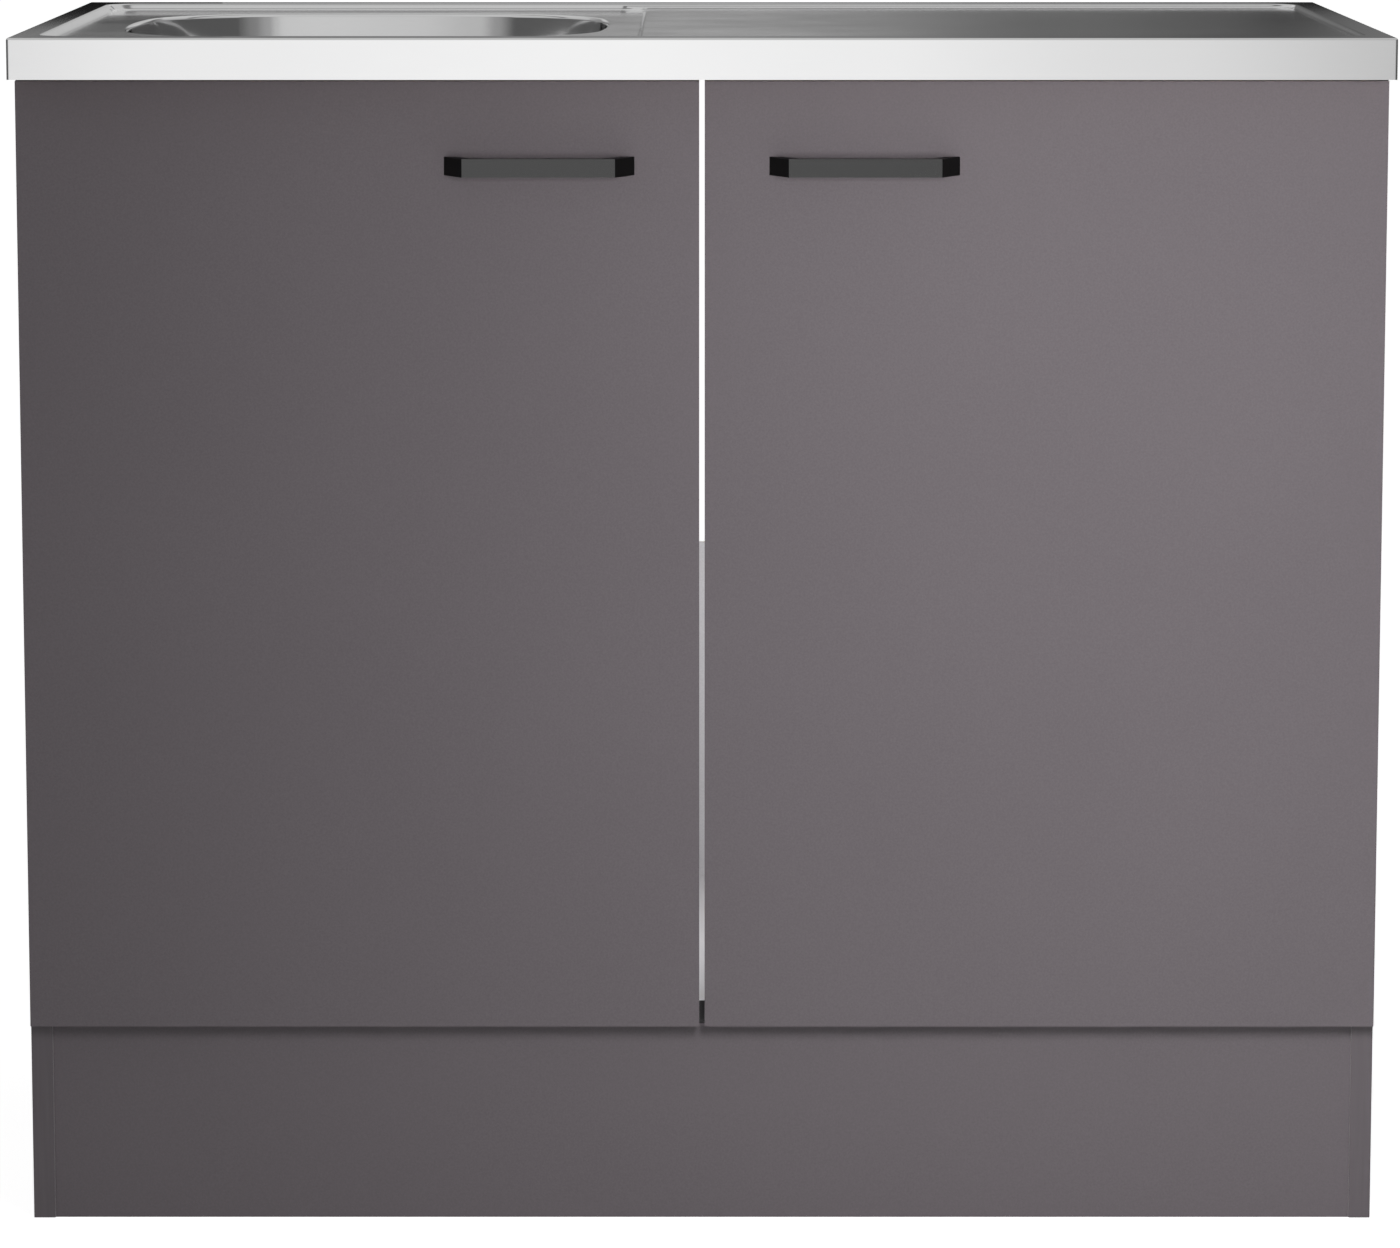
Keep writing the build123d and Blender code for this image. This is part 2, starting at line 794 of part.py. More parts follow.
def strainer_flange():
    """The steel dish that clamps down into the bowl, with drain holes in its floor."""
    solid = ring(flange_radius, well_radius - flange_sheet, flange_under, flange_top, bowl_x)
    solid += ring(well_radius, well_radius - flange_sheet, well_floor, flange_top, bowl_x)
    floor = rod(well_radius, flange_sheet, (bowl_x, 0, well_floor), Z_AXIS)
    floor -= rod(waste_screw_radius + fitting_play, flange_sheet, (bowl_x, 0, well_floor), Z_AXIS)
    for hole in around_drain(drain_hole_circle, drain_hole_count, drain_hole_radius, well_floor,
                             well_floor + flange_sheet):
        floor -= hole
    return solid + floor


def waste_gaskets():
    """One ring seals over the bowl's floor and one under it."""
    upper_radius = flange_radius - gasket_set_in
    upper = ring(upper_radius, upper_radius - gasket_width, waste_seat, flange_under, bowl_x)
    lower_radius = body_flange_radius - gasket_set_in
    lower = ring(lower_radius, lower_radius - gasket_width, body_top, waste_seat - sheet, bowl_x)
    return [upper, lower]


def spigot_y():
    return body_radius + overflow_bend_radius / 2


overflow_inlet_z = well_floor + flange_sheet + waste_screw_head


def waste_body():
    """The plastic cup under the bowl: flange, wall, tail and the inlet for the overflow."""
    flange_bottom = body_top - body_flange_thickness
    solid = rod(body_flange_radius, body_flange_thickness, (bowl_x, 0, flange_bottom), Z_AXIS)
    solid += rod(body_radius, body_depth, (bowl_x, 0, body_bottom), Z_AXIS)
    solid += rod(tail_radius, tail_length, (bowl_x, 0, tail_bottom), Z_AXIS)
    inlet = (bowl_x, body_radius - body_wall, overflow_inlet_z)
    inlet_length = spigot_y() - body_radius + body_wall
    outer = overflow_pipe_radius + pipe_play + overflow_pipe_wall
    solid += rod(outer, inlet_length, inlet, Y_AXIS)
    floor_top = body_bottom + body_floor
    solid -= rod(body_radius - body_wall, body_depth - body_floor, (bowl_x, 0, floor_top), Z_AXIS)
    solid -= rod(tail_bore_radius, tail_length + body_floor, (bowl_x, 0, tail_bottom), Z_AXIS)
    solid -= rod(overflow_pipe_radius + pipe_play, inlet_length + pipe_play, inlet, Y_AXIS)
    reach = tail_bore_radius + body_floor
    spider = block(bowl_x - reach, bowl_x + reach, -spider_width / 2, spider_width / 2,
                   floor_top, floor_top + spider_height)
    spider -= rod(waste_screw_radius + fitting_play, spider_height, (bowl_x, 0, floor_top), Z_AXIS)
    return solid + spider


def waste_screw():
    seat = well_floor + flange_sheet
    end = body_bottom + body_floor
    shank = rod(waste_screw_radius, seat - end, (bowl_x, 0, end), Z_AXIS)
    head = rod(waste_screw_head_radius, waste_screw_head, (bowl_x, 0, seat), Z_AXIS)
    slot = block(bowl_x - waste_screw_head_radius, bowl_x + waste_screw_head_radius,
                 -waste_screw_slot / 2, waste_screw_slot / 2,
                 seat + waste_screw_head / 2, seat + waste_screw_head)
    return shank + head - slot


def basket():
    """The lift-out strainer: a holed cup whose lip rests on the flange, with a knob to lift by."""
    floor_z = flange_top - basket_depth
    solid = ring(basket_radius, basket_radius - basket_wall, floor_z, flange_top, bowl_x)
    solid += rod(basket_radius, basket_wall, (bowl_x, 0, floor_z), Z_AXIS)
    solid += ring(basket_radius + basket_lip, basket_radius - basket_wall, flange_top,
                  flange_top + basket_wall, bowl_x)
    for index in range(1, basket_rings + 1):
        circle = index * basket_radius / (basket_rings + 1)
        count = basket_holes_per_ring * index
        for hole in around_drain(circle, count, basket_hole_radius, floor_z, floor_z + basket_wall):
            solid -= hole
    slot_height = basket_depth / 2
    for index in range(basket_slot_count):
        turn = Rot(0, 0, 360 * (index + 0.5) / basket_slot_count)
        slot = Pos(basket_radius, 0, 0) * Box(4 * basket_wall, 2 * basket_hole_radius, slot_height)
        solid -= Pos(bowl_x, 0, floor_z + basket_depth / 2) * turn * slot
    solid += rod(stem_radius, basket_depth, (bowl_x, 0, floor_z), Z_AXIS)
    knob = rod(knob_radius, knob_height, (bowl_x, 0, flange_top), Z_AXIS)
    return solid + fillet(knob.edges(), knob_edge_radius)


# ---------------------------------------------------------------- overflow
def overflow_cover():
    """The slotted disc inside the bowl."""
    wall = overflow_plane()
    start = wall.origin - wall.z_dir * (flange_sheet + sheet / 2)
    disc = rod(overflow_cover_radius, flange_sheet, start, wall.z_dir)
    step = overflow_hole_radius * 2 / (overflow_slot_count + 1)
    for side in (-1, 1):
        for index in range(overflow_slot_count):
            down = (index - (overflow_slot_count - 1) / 2) * step
            place = wall * Pos(side * overflow_slot_from_middle, down, 0)
            disc -= place * Box(overflow_slot_length, overflow_slot_width, 8 * sheet)
    bore_start = wall.origin - wall.z_dir * 4 * sheet
    return disc - rod(overflow_screw_radius + fitting_play, 8 * sheet, bore_start, wall.z_dir)


overflow_back = overflow_plane().origin.Y + overflow_head_depth
overflow_pipe_y = overflow_back - overflow_pipe_radius - overflow_wall


def overflow_head():
    """The plastic housing behind the rear wall; its boss takes the screw and its foot the pipe."""
    wall = overflow_plane()
    face = wall.origin + wall.z_dir * (sheet + gasket_thickness)
    depth = overflow_back - face.Y
    outside = rod(overflow_head_radius, depth, face, wall.z_dir)
    inside = rod(overflow_bore_radius, depth - overflow_wall, face, wall.z_dir)
    foot_top = (bowl_x, overflow_pipe_y, wall.origin.Z)
    foot_length = overflow_head_radius + overflow_bend_radius / 2
    outer = overflow_pipe_radius + pipe_play + overflow_pipe_wall
    outside += rod(outer, foot_length, foot_top, -Z_AXIS)
    inside += rod(overflow_pipe_radius + pipe_play, foot_length, foot_top, -Z_AXIS)
    boss = rod(2 * overflow_screw_radius, depth - overflow_wall, face, wall.z_dir)
    boss = boss - rod(overflow_screw_radius + fitting_play, overflow_bore_radius, face, wall.z_dir)
    return outside - inside + boss


def overflow_gasket():
    wall = overflow_plane()
    face = wall.origin + wall.z_dir * sheet
    return (rod(overflow_head_radius - 1, gasket_thickness, face, wall.z_dir)
            - rod(overflow_hole_radius, gasket_thickness, face, wall.z_dir))


def overflow_screw():
    wall = overflow_plane()
    seat = wall.origin - wall.z_dir * (flange_sheet + sheet / 2)
    shank = rod(overflow_screw_radius, overflow_bore_radius, seat, wall.z_dir)
    head = rod(2 * overflow_screw_radius, overflow_screw_radius, seat, -wall.z_dir)
    return shank + fillet(head.edges().sort_by(Axis.Y)[0], overflow_screw_radius / 2)


def overflow_pipe():
    """The pipe from the overflow's foot down and forward into the waste body."""
    top = overflow_plane().origin.Z - overflow_head_radius
    front = body_radius + overflow_pipe_stop
    points = [(bowl_x, overflow_pipe_y, top), (bowl_x, overflow_pipe_y, overflow_inlet_z),
              (bowl_x, front, overflow_inlet_z)]
    bore = overflow_pipe_radius - overflow_pipe_wall
    return tube(points, overflow_bend_radius, overflow_pipe_radius, bore)


# ---------------------------------------------------------------- trap
def socket(z0, z1, y=0.0):
    """A bell that a pipe slides into."""
    return ring(pipe_radius + pipe_play + socket_wall, pipe_radius + pipe_play, z0, z1, bowl_x, y)


def trap_inlet_pipe():
    bore = pipe_radius - pipe_wall
    pipe = ring(pipe_radius, bore, tail_bottom - trap_inlet_length + pipe_play, tail_bottom, bowl_x)
    return pipe + ring(tail_radius - pipe_play, bore, tail_bottom - pipe_collar, tail_bottom, bowl_x)


def trap_bend():
    """The water seal: a bell, a U and a plain leg."""
    bore = pipe_radius - pipe_wall
    points = [(bowl_x, 0, trap_socket_floor), (bowl_x, 0, trap_turn_z - trap_bend_radius),
              (bowl_x, trap_leg_y, trap_turn_z - trap_bend_radius), (bowl_x, trap_leg_y, trap_leg_top)]
    pipe = tube(points, trap_bend_radius - trap_bend_straight / 2, pipe_radius, bore)
    neck = ring(pipe_radius + pipe_play + socket_wall, bore, trap_socket_floor - pipe_wall,
                trap_socket_floor, bowl_x)
    return pipe + neck + socket(trap_socket_floor, trap_socket_top)


def trap_outlet_arm():
    """The bell over the U's leg, an elbow and the straight run to the back of the unit."""
    bore = pipe_radius - pipe_wall
    points = [(bowl_x, trap_leg_y, arm_socket_floor), (bowl_x, trap_leg_y, outlet_z),
              (bowl_x, unit_back, outlet_z)]
    pipe = tube(points, trap_elbow_radius, pipe_radius, bore)
    neck = ring(pipe_radius + pipe_play + socket_wall, bore, arm_socket_floor,
                arm_socket_floor + pipe_wall, bowl_x, trap_leg_y)
    return pipe + neck + socket(arm_socket_floor - socket_depth, arm_socket_floor, trap_leg_y)


def nut(z_open, side, y, hole_radius, thread_radius):
    """A ribbed union nut: it opens towards side (1 is up) and its shoulder closes the other end."""
    far = z_open - side * nut_height
    low, high = min(z_open, far), max(z_open, far)
    solid = rod(nut_radius - nut_rib_rise, nut_height, (bowl_x, y, low), Z_AXIS)
    for index in range(nut_rib_count):
        turn = Rot(0, 0, 360 * index / nut_rib_count)
        rib = Pos(nut_radius - nut_rib_depth / 2, 0, 0) * Box(nut_rib_depth, nut_rib_width, nut_height)
        solid += Pos(bowl_x, y, (low + high) / 2) * turn * rib
    solid -= rod(hole_radius, nut_height, (bowl_x, y, low), Z_AXIS)
    inner = low + nut_shoulder if side > 0 else low
    return solid - rod(thread_radius, nut_height - nut_shoulder, (bowl_x, y, inner), Z_AXIS)


def trap_nuts():
    """The nuts on the waste's tail, on the trap's inlet bell and on its outlet bell."""
    around_pipe = pipe_radius + pipe_play
    around_bell = pipe_radius + pipe_play + socket_wall + pipe_play
    tail_nut_open = tail_bottom - pipe_collar - nut_shoulder + nut_height
    inlet_nut_open = trap_socket_top + nut_shoulder - nut_height
    outlet_nut_open = arm_socket_floor - socket_depth - nut_shoulder + nut_height
    return [nut(tail_nut_open, 1, 0.0, around_pipe, tail_radius + pipe_play),
            nut(inlet_nut_open, -1, 0.0, around_pipe, around_bell),
            nut(outlet_nut_open, 1, trap_leg_y, around_pipe, around_bell)]


# ---------------------------------------------------------------- nodes
def per_hinge(make):
    return [make(z) for z in hinge_heights]


def cup_screws():
    return [wood_screw(seat, -Y_AXIS) for z in hinge_heights for seat in cup_screw_seats(z)]


def plate_screws():
    return [wood_screw(seat, -X_AXIS) for z in hinge_heights for seat in plate_screw_seats(z)]


def both_sides(solids):
    return group(list(solids) + [mirrored(solid) for solid in solids])


def paired_nodes():
    """Left-hand pieces and their mirrored twins, each a node of its own."""
    left = {
        "side_panel": side_panel(),
        "deck_side_batten": side_batten(),
        "door": door(),
        "handle": handle(),
        "handle_screws": group(handle_screw(seat) for seat in handle_seats()),
        "door_bumpers": group(bumpers()),
        "hinge_cups": group(per_hinge(hinge_cup)),
        "hinge_cup_screws": group(cup_screws()),
        "hinge_links": group(per_hinge(hinge_link)),
        "hinge_arms": group(per_hinge(hinge_arm)),
        "hinge_plates": group(per_hinge(hinge_plate)),
        "hinge_plate_screws": group(plate_screws()),
    }
    nodes = {}
    for name, shape in left.items():
        nodes["left_" + name] = shape
        nodes["right_" + name] = mirrored(shape)
    return nodes


def single_nodes():
    return {
        "bottom_panel": bottom_panel(),
        "back_panel": back_panel(),
        "plinth_panel": plinth_panel(),
        "angle_brackets": group(bracket(plane) for plane in bracket_planes()),
        "bracket_screws": group(bracket_screws()),
        "cam_discs": both_sides([cam_disc(y) for y in cam_places]),
        "cam_bolts": both_sides([cam_bolt(y) for y in cam_places]),
        "wood_dowels": both_sides([dowel(y) for y in dowel_places]),
        "sink_deck": sink_deck(),
        "sink_bowl": sink_bowl(),
        "deck_front_batten": edge_batten(-1),
        "deck_rear_batten": edge_batten(1),
        "deck_front_rail": front_rail(),
        "deck_middle_rail": middle_rail(),
        "drainer_backing_board": backing_board(),
        "strainer_flange": strainer_flange(),
        "waste_gaskets": group(waste_gaskets()),
        "waste_body": waste_body(),
        "waste_screw": waste_screw(),
        "strainer_basket": basket(),
        "overflow_cover": overflow_cover(),
        "overflow_head": overflow_head(),
        "overflow_gasket": overflow_gasket(),
        "overflow_screw": overflow_screw(),
        "overflow_pipe": overflow_pipe(),
        "trap_inlet_pipe": trap_inlet_pipe(),
        "trap_bend": trap_bend(),
        "trap_outlet_arm": trap_outlet_arm(),
        "trap_nuts": group(trap_nuts()),
    }


os.makedirs("parts", exist_ok=True)
for name, shape in {**paired_nodes(), **single_nodes()}.items():
    export_step(shape, "parts/" + name + ".step")
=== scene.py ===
"""The looks of the kitchen sink unit: its finishes, the pressed sink top, light, floor and camera.

Metres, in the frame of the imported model. The boards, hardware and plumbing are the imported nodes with
softened edges and finishes of their own; the sink's deck and bowl are pressed here as one sheet.
"""

import math

import bpy
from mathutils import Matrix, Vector
from mathutils.geometry import delaunay_2d_cdt, normal as face_normal


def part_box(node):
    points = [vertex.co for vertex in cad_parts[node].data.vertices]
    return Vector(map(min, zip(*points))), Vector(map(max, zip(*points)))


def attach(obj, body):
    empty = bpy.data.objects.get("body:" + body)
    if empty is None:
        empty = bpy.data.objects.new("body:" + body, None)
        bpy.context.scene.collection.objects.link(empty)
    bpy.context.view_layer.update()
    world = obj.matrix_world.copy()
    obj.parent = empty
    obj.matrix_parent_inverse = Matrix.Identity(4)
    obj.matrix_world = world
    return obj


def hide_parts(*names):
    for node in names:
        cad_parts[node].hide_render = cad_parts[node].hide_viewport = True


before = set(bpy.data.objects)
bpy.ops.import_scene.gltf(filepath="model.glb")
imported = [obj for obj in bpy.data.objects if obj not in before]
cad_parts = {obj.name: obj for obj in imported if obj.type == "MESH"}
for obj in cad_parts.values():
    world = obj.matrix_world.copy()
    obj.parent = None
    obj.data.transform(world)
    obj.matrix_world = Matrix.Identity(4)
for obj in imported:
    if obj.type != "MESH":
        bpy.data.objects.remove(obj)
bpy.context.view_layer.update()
MM = 0.001

# ---------------------------------------------------------------- sizes of the pressed sink top
SHEET = 0.8 * MM
PRESS_BEND = 1.3 * MM
PRESS_BEND_STEPS = 4
TOUCH = 0.001 * MM

SLOPE_RUN = math.tan(math.radians(49))
RIM_FRONT = 30 * MM
RIM_SIDE = 19 * MM
DRAINER_DEPTH = 2.7 * MM
TRAY_DEPTH = 4.7 * MM
TRAY_WIDTH = 436.5 * MM
RECESS_RADIUS = 25 * MM
RECESS_STEPS = 14
DECK_CORNER = 2 * MM
DECK_CORNER_STEPS = 6
DECK_EDGE = 1.5 * MM
DECK_EDGE_STEPS = 4

BOWL_FLANGE = 12 * MM
BOWL_SIDE_RADIUS = 800 * MM
BOWL_CORNER_RADIUS = 110 * MM
BOWL_ROLL = 3 * MM
BOWL_TAPER = math.radians(4)
BOWL_FLOOR_RADIUS = 40 * MM
SIDE_STEPS = 10
CORNER_STEPS = 26
BOWL_BEND_STEPS = 10

WASTE_RECESS_RADIUS = 59 * MM
WASTE_RECESS_DEPTH = 4 * MM
WASTE_HOLE_RADIUS = 45 * MM
OVERFLOW_DROP = 55 * MM
OVERFLOW_RADIUS = 17 * MM
OVERFLOW_STEPS = 40
PATCH_DROPS = (30 * MM, 80 * MM)
PATCH_COLUMNS = 4

deck_low, deck_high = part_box("sink_deck")
bowl_low, bowl_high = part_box("sink_bowl")
deck_top = deck_high.z
tray_level = bowl_high.z
waste_seat = bowl_low.z + SHEET
bowl_floor = waste_seat + WASTE_RECESS_DEPTH
bowl_x = (bowl_low.x + bowl_high.x) / 2
bowl_half_x = (bowl_high.x - bowl_low.x) / 2 - BOWL_FLANGE
bowl_half_y = bowl_high.y - BOWL_FLANGE

recess_left = deck_low.x + RIM_SIDE
recess_right = deck_high.x - RIM_SIDE
recess_half_y = deck_high.y - RIM_FRONT
drainer_run = DRAINER_DEPTH * SLOPE_RUN
tray_run = TRAY_DEPTH * SLOPE_RUN
tray_right = recess_left + TRAY_WIDTH + drainer_run


# ---------------------------------------------------------------- outlines
class Outline:
    """A closed outline of arcs. Each point has an arc centre, a reach from it and a direction."""

    def __init__(self, spokes):
        """Spokes are (arc centre x, arc centre y, reach, direction in radians)."""
        self.spokes = spokes

    def at(self, grow):
        """The outline's points after growing evenly outward."""
        return [(x + (reach + grow) * math.cos(angle), y + (reach + grow) * math.sin(angle))
                for x, y, reach, angle in self.spokes]

    def ring(self, grow, height, outward, upward):
        """Points at a height, with normals made of an outward and an upward share."""
        return [((x, y, height), (outward * math.cos(spoke[3]), outward * math.sin(spoke[3]), upward))
                for (x, y), spoke in zip(self.at(grow), self.spokes)]


def arc_spokes(x, y, reach, start, end, steps):
    """The spokes of one arc, both ends included, with its angles in radians."""
    return [(x, y, reach, start + (end - start) * step / steps) for step in range(steps + 1)]


def rounded_rectangle(x0, x1, half_y, radius, steps):
    """Four corner arcs, from the right rear corner round to the right front one."""
    right, left, rear = x1 - radius, x0 + radius, half_y - radius
    spokes = []
    for quarter, (x, y) in enumerate(((right, rear), (left, rear), (left, -rear), (right, -rear))):
        start = quarter * math.pi / 2
        spokes += arc_spokes(x, y, radius, start, start + math.pi / 2, steps)
    return Outline(spokes)


bow_x = BOWL_SIDE_RADIUS - bowl_half_x
bow_y = BOWL_SIDE_RADIUS - bowl_half_y


def bowl_outline():
    """Bowed sides and rounded corners that meet in tangent, from the right side's middle round."""
    reach = BOWL_SIDE_RADIUS - BOWL_CORNER_RADIUS
    span = math.hypot(bow_x, bow_y)
    rise = math.sqrt(reach ** 2 - (span / 2) ** 2)
    corner_x = -bow_x / 2 + rise * bow_y / span
    corner_y = -bow_y / 2 + rise * bow_x / span
    low = math.atan2(corner_y, corner_x + bow_x)
    high = math.atan2(corner_y + bow_y, corner_x)
    quadrant = arc_spokes(-bow_x, 0, BOWL_SIDE_RADIUS, 0, low, SIDE_STEPS)
    quadrant += arc_spokes(corner_x, corner_y, BOWL_CORNER_RADIUS, low, high, CORNER_STEPS)[1:]
    quadrant += arc_spokes(0, -bow_y, BOWL_SIDE_RADIUS, high, math.pi / 2, SIDE_STEPS)[1:]
    half = quadrant + [(-x, y, reach, math.pi - angle) for x, y, reach, angle in quadrant[-2::-1]]
    full = half + [(x, -y, reach, -angle) for x, y, reach, angle in half[-2:0:-1]]
    return Outline([(bowl_x + x, y, reach, angle) for x, y, reach, angle in full])


# ---------------------------------------------------------------- a pressed sheet
class Sheet:
    """The side of a pressed sheet that shows: points, their normals and the faces between them."""

    def __init__(self):
        self.points = []
        self.normals = []
        self.faces = []

    def add(self, point, normal):
        """Adds a point and gives back its number."""
        self.points.append(Vector(point))
        self.normals.append(Vector(normal).normalized())
        return len(self.points) - 1

    def add_ring(self, ring):
        """Adds the points of a ring and gives back their numbers."""
        return [self.add(point, normal) for point, normal in ring]

    def add_face(self, corners):
        """Adds a face, turned so that it faces the way its normals point."""
        facing = face_normal([self.points[corner] for corner in corners])
        outward = sum((self.normals[corner] for corner in corners), Vector())
        self.faces.append(list(corners) if facing.dot(outward) > 0 else list(reversed(corners)))

    def bridge(self, first, second, gap=()):
        """Faces between two closed rings of as many points, except in the steps of a gap."""
        count = len(first)
        for step in range(count):
            after = (step + 1) % count
            if step not in gap:
                self.add_face([first[step], first[after], second[after], second[step]])

    def build(self, name):
        """A mesh object of the sheet at its thickness, with exact normals."""
        count = len(self.points)
        under = [point - normal * SHEET for point, normal in zip(self.points, self.normals)]
        edges = {(a, b) for face in self.faces for a, b in zip(face, face[1:] + face[:1])}
        rims = [[b, a, a + count, b + count] for a, b in sorted(edges) if (b, a) not in edges]
        lower = [[corner + count for corner in reversed(face)] for face in self.faces]
        points = self.points + under
        mesh = bpy.data.meshes.new(name)
        mesh.from_pydata(points, [], self.faces + lower + rims)
        mesh.polygons.foreach_set("use_smooth", [True] * len(mesh.polygons))
        normals = [self.normals[corner] for face in self.faces for corner in face]
        normals += [-self.normals[corner - count] for face in lower for corner in face]
        for rim in rims:
            normals += [face_normal([points[corner] for corner in rim])] * len(rim)
        mesh.normals_split_custom_set(normals)
        piece = bpy.data.objects.new(name, mesh)
        bpy.context.scene.collection.objects.link(piece)
        return piece


class Plan:
    """Lines in plan, and the triangles that a flat stretch is divided into along them."""

    def __init__(self):
        self.points = []
        self.lines = []

    def draw(self, points, closed=True):
        """Adds a line through points and gives back their numbers."""
        start, count = len(self.points), len(points)
        self.points += [Vector(point) for point in points]
        steps = count if closed else count - 1
        self.lines += [(start + step, start + (step + 1) % count) for step in range(steps)]
        return list(range(start, start + count))

    def divide(self):
        """The places, the triangles and where each drawn point has gone."""
        places, _, triangles, origins, _, _ = delaunay_2d_cdt(self.points, self.lines, [], 0, TOUCH)
        moved = {source: index for index, sources in enumerate(origins) for source in sources}
        return places, triangles, moved


# ---------------------------------------------------------------- the deck
def inside_depth(x, y, x0, x1):
    """How far a point lies inside a recess's rounded outline, less than zero outside it."""
    past_x = abs(x - (x0 + x1) / 2) - ((x1 - x0) / 2 - RECESS_RADIUS)
    past_y = abs(y) - (recess_half_y - RECESS_RADIUS)
    corner = math.hypot(max(past_x, 0), max(past_y, 0))
    return RECESS_RADIUS - corner - min(max(past_x, past_y), 0)


def soft_ramp(distance):
    """Zero before the bend, the distance after it, and a rounded bend between."""
    if abs(distance) >= PRESS_BEND:
        return max(distance, 0)
    return (distance + PRESS_BEND) ** 2 / (4 * PRESS_BEND)


def deck_height(x, y):
    """The rim, the slope down to the drainer and the further step down to the tray."""
    recess = inside_depth(x, y, recess_left, recess_right)
    tray = inside_depth(x, y, recess_left, tray_right)
    run = soft_ramp(recess) - soft_ramp(recess - drainer_run)
    run += soft_ramp(tray - drainer_run) - soft_ramp(tray - tray_run)
    return deck_top - run / SLOPE_RUN


def deck_point(x, y):
    """A point of the deck with its normal."""
    step = 0.02 * MM
    slope_x = (deck_height(x + step, y) - deck_height(x - step, y)) / (2 * step)
    slope_y = (deck_height(x, y + step) - deck_height(x, y - step)) / (2 * step)
    return (x, y, deck_height(x, y)), (-slope_x, -slope_y, 1)


def bend_insets(*centres):
    """Insets at which a slope's bends are divided."""
    shares = (-1, -0.5, 0, 0.5, 1)
    return sorted(centre + share * PRESS_BEND for centre in centres for share in shares)


def press_deck(sheet, bowl):
    """Adds the rim, slopes, tray, drainer and skirt; gives back the ring where the bowl begins."""
    deck = rounded_rectangle(deck_low.x, deck_high.x, deck_high.y, DECK_CORNER, DECK_CORNER_STEPS)
    recess = rounded_rectangle(recess_left, recess_right, recess_half_y, RECESS_RADIUS, RECESS_STEPS)
    tray = rounded_rectangle(recess_left, tray_right, recess_half_y, RECESS_RADIUS, RECESS_STEPS)
    corner_points = len(tray.spokes) // 4
    tray_step = Outline(tray.spokes[-corner_points:] + tray.spokes[:corner_points])

    plan = Plan()
    rim_line = plan.draw(deck.at(-DECK_EDGE))
    bowl_line = plan.draw(bowl.at(BOWL_FLANGE))
    for inset in bend_insets(0, drainer_run, tray_run):
        plan.draw(recess.at(-inset))
    for inset in bend_insets(drainer_run, tray_run):
        plan.draw(tray_step.at(-inset), closed=False)
    places, triangles, moved = plan.divide()

    index = [sheet.add(*deck_point(*place)) for place in places]
    in_bowl = {moved[point] for point in bowl_line}
    for triangle in triangles:
        if not in_bowl.issuperset(triangle):
            sheet.add_face([index[corner] for corner in triangle])

    ring = [index[moved[point]] for point in rim_line]
    for step in range(1, DECK_EDGE_STEPS + 1):
        angle = step / DECK_EDGE_STEPS * math.pi / 2
        outward, upward = math.sin(angle), math.cos(angle)
        grow = DECK_EDGE * (outward - 1)
        height = deck_top - DECK_EDGE * (1 - upward)
        after = sheet.add_ring(deck.ring(grow, height, outward, upward))
        sheet.bridge(ring, after)
        ring = after
    sheet.bridge(ring, sheet.add_ring(deck.ring(0, deck_low.z, 1, 0)))
    return [index[moved[point]] for point in bowl_line]


# ---------------------------------------------------------------- the bowl
def bent_profile(corners, radii, steps):
    """A section that runs inward and down through rounded corners: (grow, height, outward, upward)."""
    points = [Vector(corner) for corner in corners]
    runs = [(after - before).normalized() for before, after in zip(points, points[1:])]
    profile = [(points[0], runs[0])]
    for corner, radius, run, after in zip(points[1:], radii, runs, runs[1:]):
        turn = math.atan2(run.x * after.y - run.y * after.x, run.dot(after))
        side = math.copysign(1, turn)
        start = corner - run * radius * math.tan(abs(turn) / 2)
        centre = start + side * radius * Vector((-run.y, run.x))
        count = steps if radius else 0
        for step in range(count + 1):
            angle = turn * step / max(count, 1)
            way = Vector((run.x * math.cos(angle) - run.y * math.sin(angle),
                          run.x * math.sin(angle) + run.y * math.cos(angle)))
            profile.append((centre - side * radius * Vector((-way.y, way.x)), way))
    profile.append((points[-1], runs[-1]))
    return [(point.x, point.y, way.y, -way.x) for point, way in profile]


def wall_drop(drop):
    """The section's place on the tapered wall at a drop below the tray."""
    return (-drop * math.tan(BOWL_TAPER), tray_level - drop)


def rear_wall_point(across, drop):
    """A point of the bowl's rear wall and its normal."""
    grow, height = wall_drop(drop)
    reach = BOWL_SIDE_RADIUS + grow
    angle = math.acos(across / reach)
    normal = (-math.cos(BOWL_TAPER) * math.cos(angle), -math.cos(BOWL_TAPER) * math.sin(angle),
              math.sin(BOWL_TAPER))
    return (bowl_x + across, reach * math.sin(angle) - bow_y, height), normal


def press_overflow_hole(sheet, upper, lower, columns):
    """Fills the patch of rear wall that was left out between two rings, round the overflow's hole."""
    border = [upper[column] for column in columns] + [lower[column] for column in reversed(columns)]
    plan = Plan()
    border_line = plan.draw([(sheet.points[point].x - bowl_x, tray_level - sheet.points[point].z)
                             for point in border])
    turn = arc_spokes(0, OVERFLOW_DROP, OVERFLOW_RADIUS, 0, 2 * math.pi, OVERFLOW_STEPS)
    hole = Outline(turn[:-1])
    hole_line = plan.draw(hole.at(0))
    places, triangles, moved = plan.divide()
    index = {moved[point]: border[order] for order, point in enumerate(border_line)}
    for place in range(len(places)):
        if place not in index:
            index[place] = sheet.add(*rear_wall_point(*places[place]))
    in_hole = {moved[point] for point in hole_line}
    for triangle in triangles:
        if not in_hole.issuperset(triangle):
            sheet.add_face([index[corner] for corner in triangle])


